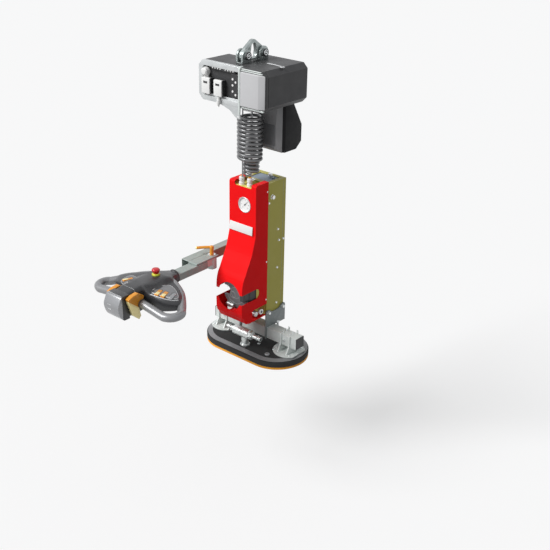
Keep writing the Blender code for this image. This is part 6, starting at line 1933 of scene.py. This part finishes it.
@dataclass
class Arm(Assembly):
    """Square arm, pivot plate, its bolt and the clamp lever."""

    pivot: Point = (-0.1367, -0.2)

    def build(self) -> None:
        """Round the pivot plate, the arm and the stem, and make the lever."""
        self.soften("pivot_plate", "pivot_plate_steel", ZINC, 0.0018)
        self.soften("arm_tube", "arm_square_tube", ZINC, 0.0016, 2, 60.0)
        self.soften("control_stem", "stem_square_tube", ZINC, 0.0022, 3, 60.0, Body.CONTROL)
        lever_box = Extent.of("clamp_lever")
        low, high, tall = lever_box.low, lever_box.high, lever_box.tall
        x, y = self.pivot
        post = lathe([(0, 0), (0.0102, 0), (0.011, 0.004), (0.01, 0.02), (0.0112, tall - 0.015),
                      (0.0116, tall - 0.008), (0.01, tall - 0.002), (0.006, tall), (0, tall)], 32,
                     centre=(x, y, low.z))
        far = Vector((low.x + 0.006, low.y + 0.006, 0))
        run = (far - Vector((x, y, 0)))
        arm = [(x + run.x * share, y + run.y * share, high.z - 0.008 - 0.004 * share * share)
               for share in (0, 0.2, 0.4, 0.6, 0.8, 1.0)]
        knob = lathe([(0, -0.0085), (0.005, -0.0075), (0.0072, -0.004), (0.0074, 0.003),
                      (0.005, 0.006), (0, 0.0065)], 24, Axis.X, (0, 0, 0))
        heading = Matrix.Rotation(math.atan2(run.y, run.x), 4, "Z")
        knob = placed(knob, Matrix.Translation(arm[-1]) @ heading)
        lever = merged([post, tube(arm, 0.0074, 6)])
        self.piece("lever_handle", lever, GOLD, ["clamp_lever"], angle=50.0, body=Body.LEVER)
        self.piece("lever_tip", knob, BRIGHT_GOLD, ["clamp_lever"], angle=50.0, body=Body.LEVER)


def dress_nodes() -> None:
    """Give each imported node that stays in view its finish."""
    dress(HOIST_COAT, "hoist_housing")
    dress(BUCKET_BLACK, "chain_bucket")
    dress(END_ZINC, "end_frame", "suspension_eye", "lug_front", "lug_rear")
    dress(COVER_GREY, "end_cover")
    dress(WHITE, "contactor_left", "contactor_right", "cable_gland", "chain_guide", "gauge_body",
          "valve_block_left", "valve_block_right")
    dress(DARK_BLOCK, "terminal_block", "pump_motor", "beam_cap_left", "beam_cap_right", "gauge_needle")
    dress(STEEL, "lug_pin_front", "lug_pin_rear", "chain_anchor", "pivot_bolt")
    dress(BASE_ZINC, "foot_left", "foot_right", "cross_beam", "pivot_bushing")
    dress(TEE_STEEL, "manifold", "vacuum_tee")
    dress(ZINC, "arm_tube", "arm_bracket", "pivot_plate", "control_stem")
    dress(OLIVE_COAT, "tower_box")
    dress(OLIVE_LIT_COPY, "head_plate")
    dress(LID_BLUE, "tower_lid")
    dress(PLATE_GREY, "bracket_left", "bracket_right")
    dress(PUMP_GREY, "pump_plate")
    dress(RED_COAT, "front_cover")
    dress(GOLD, "clamp_lever", "trigger_left", "trigger_right", "button_left", "button_inner",
          "button_middle")
    dress(GRIP_SKIN, "button_reset")


def main() -> None:
    """Build the studio and then each sub-assembly in order."""
    logging.basicConfig(level=logging.INFO, format="%(name)s: %(message)s")
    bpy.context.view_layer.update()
    dress_nodes()
    for part in (Studio(), SuctionPad(), Base(), Tower(), FrontCover(), Arm(), HandControl(), Hoist(),
                 Suspension(), ChainBucket(), LoadChain(), SpiralHose()):
        part.build()
        LOG.info("built %s", type(part).__name__)


if __name__ == "__main__":
    main()
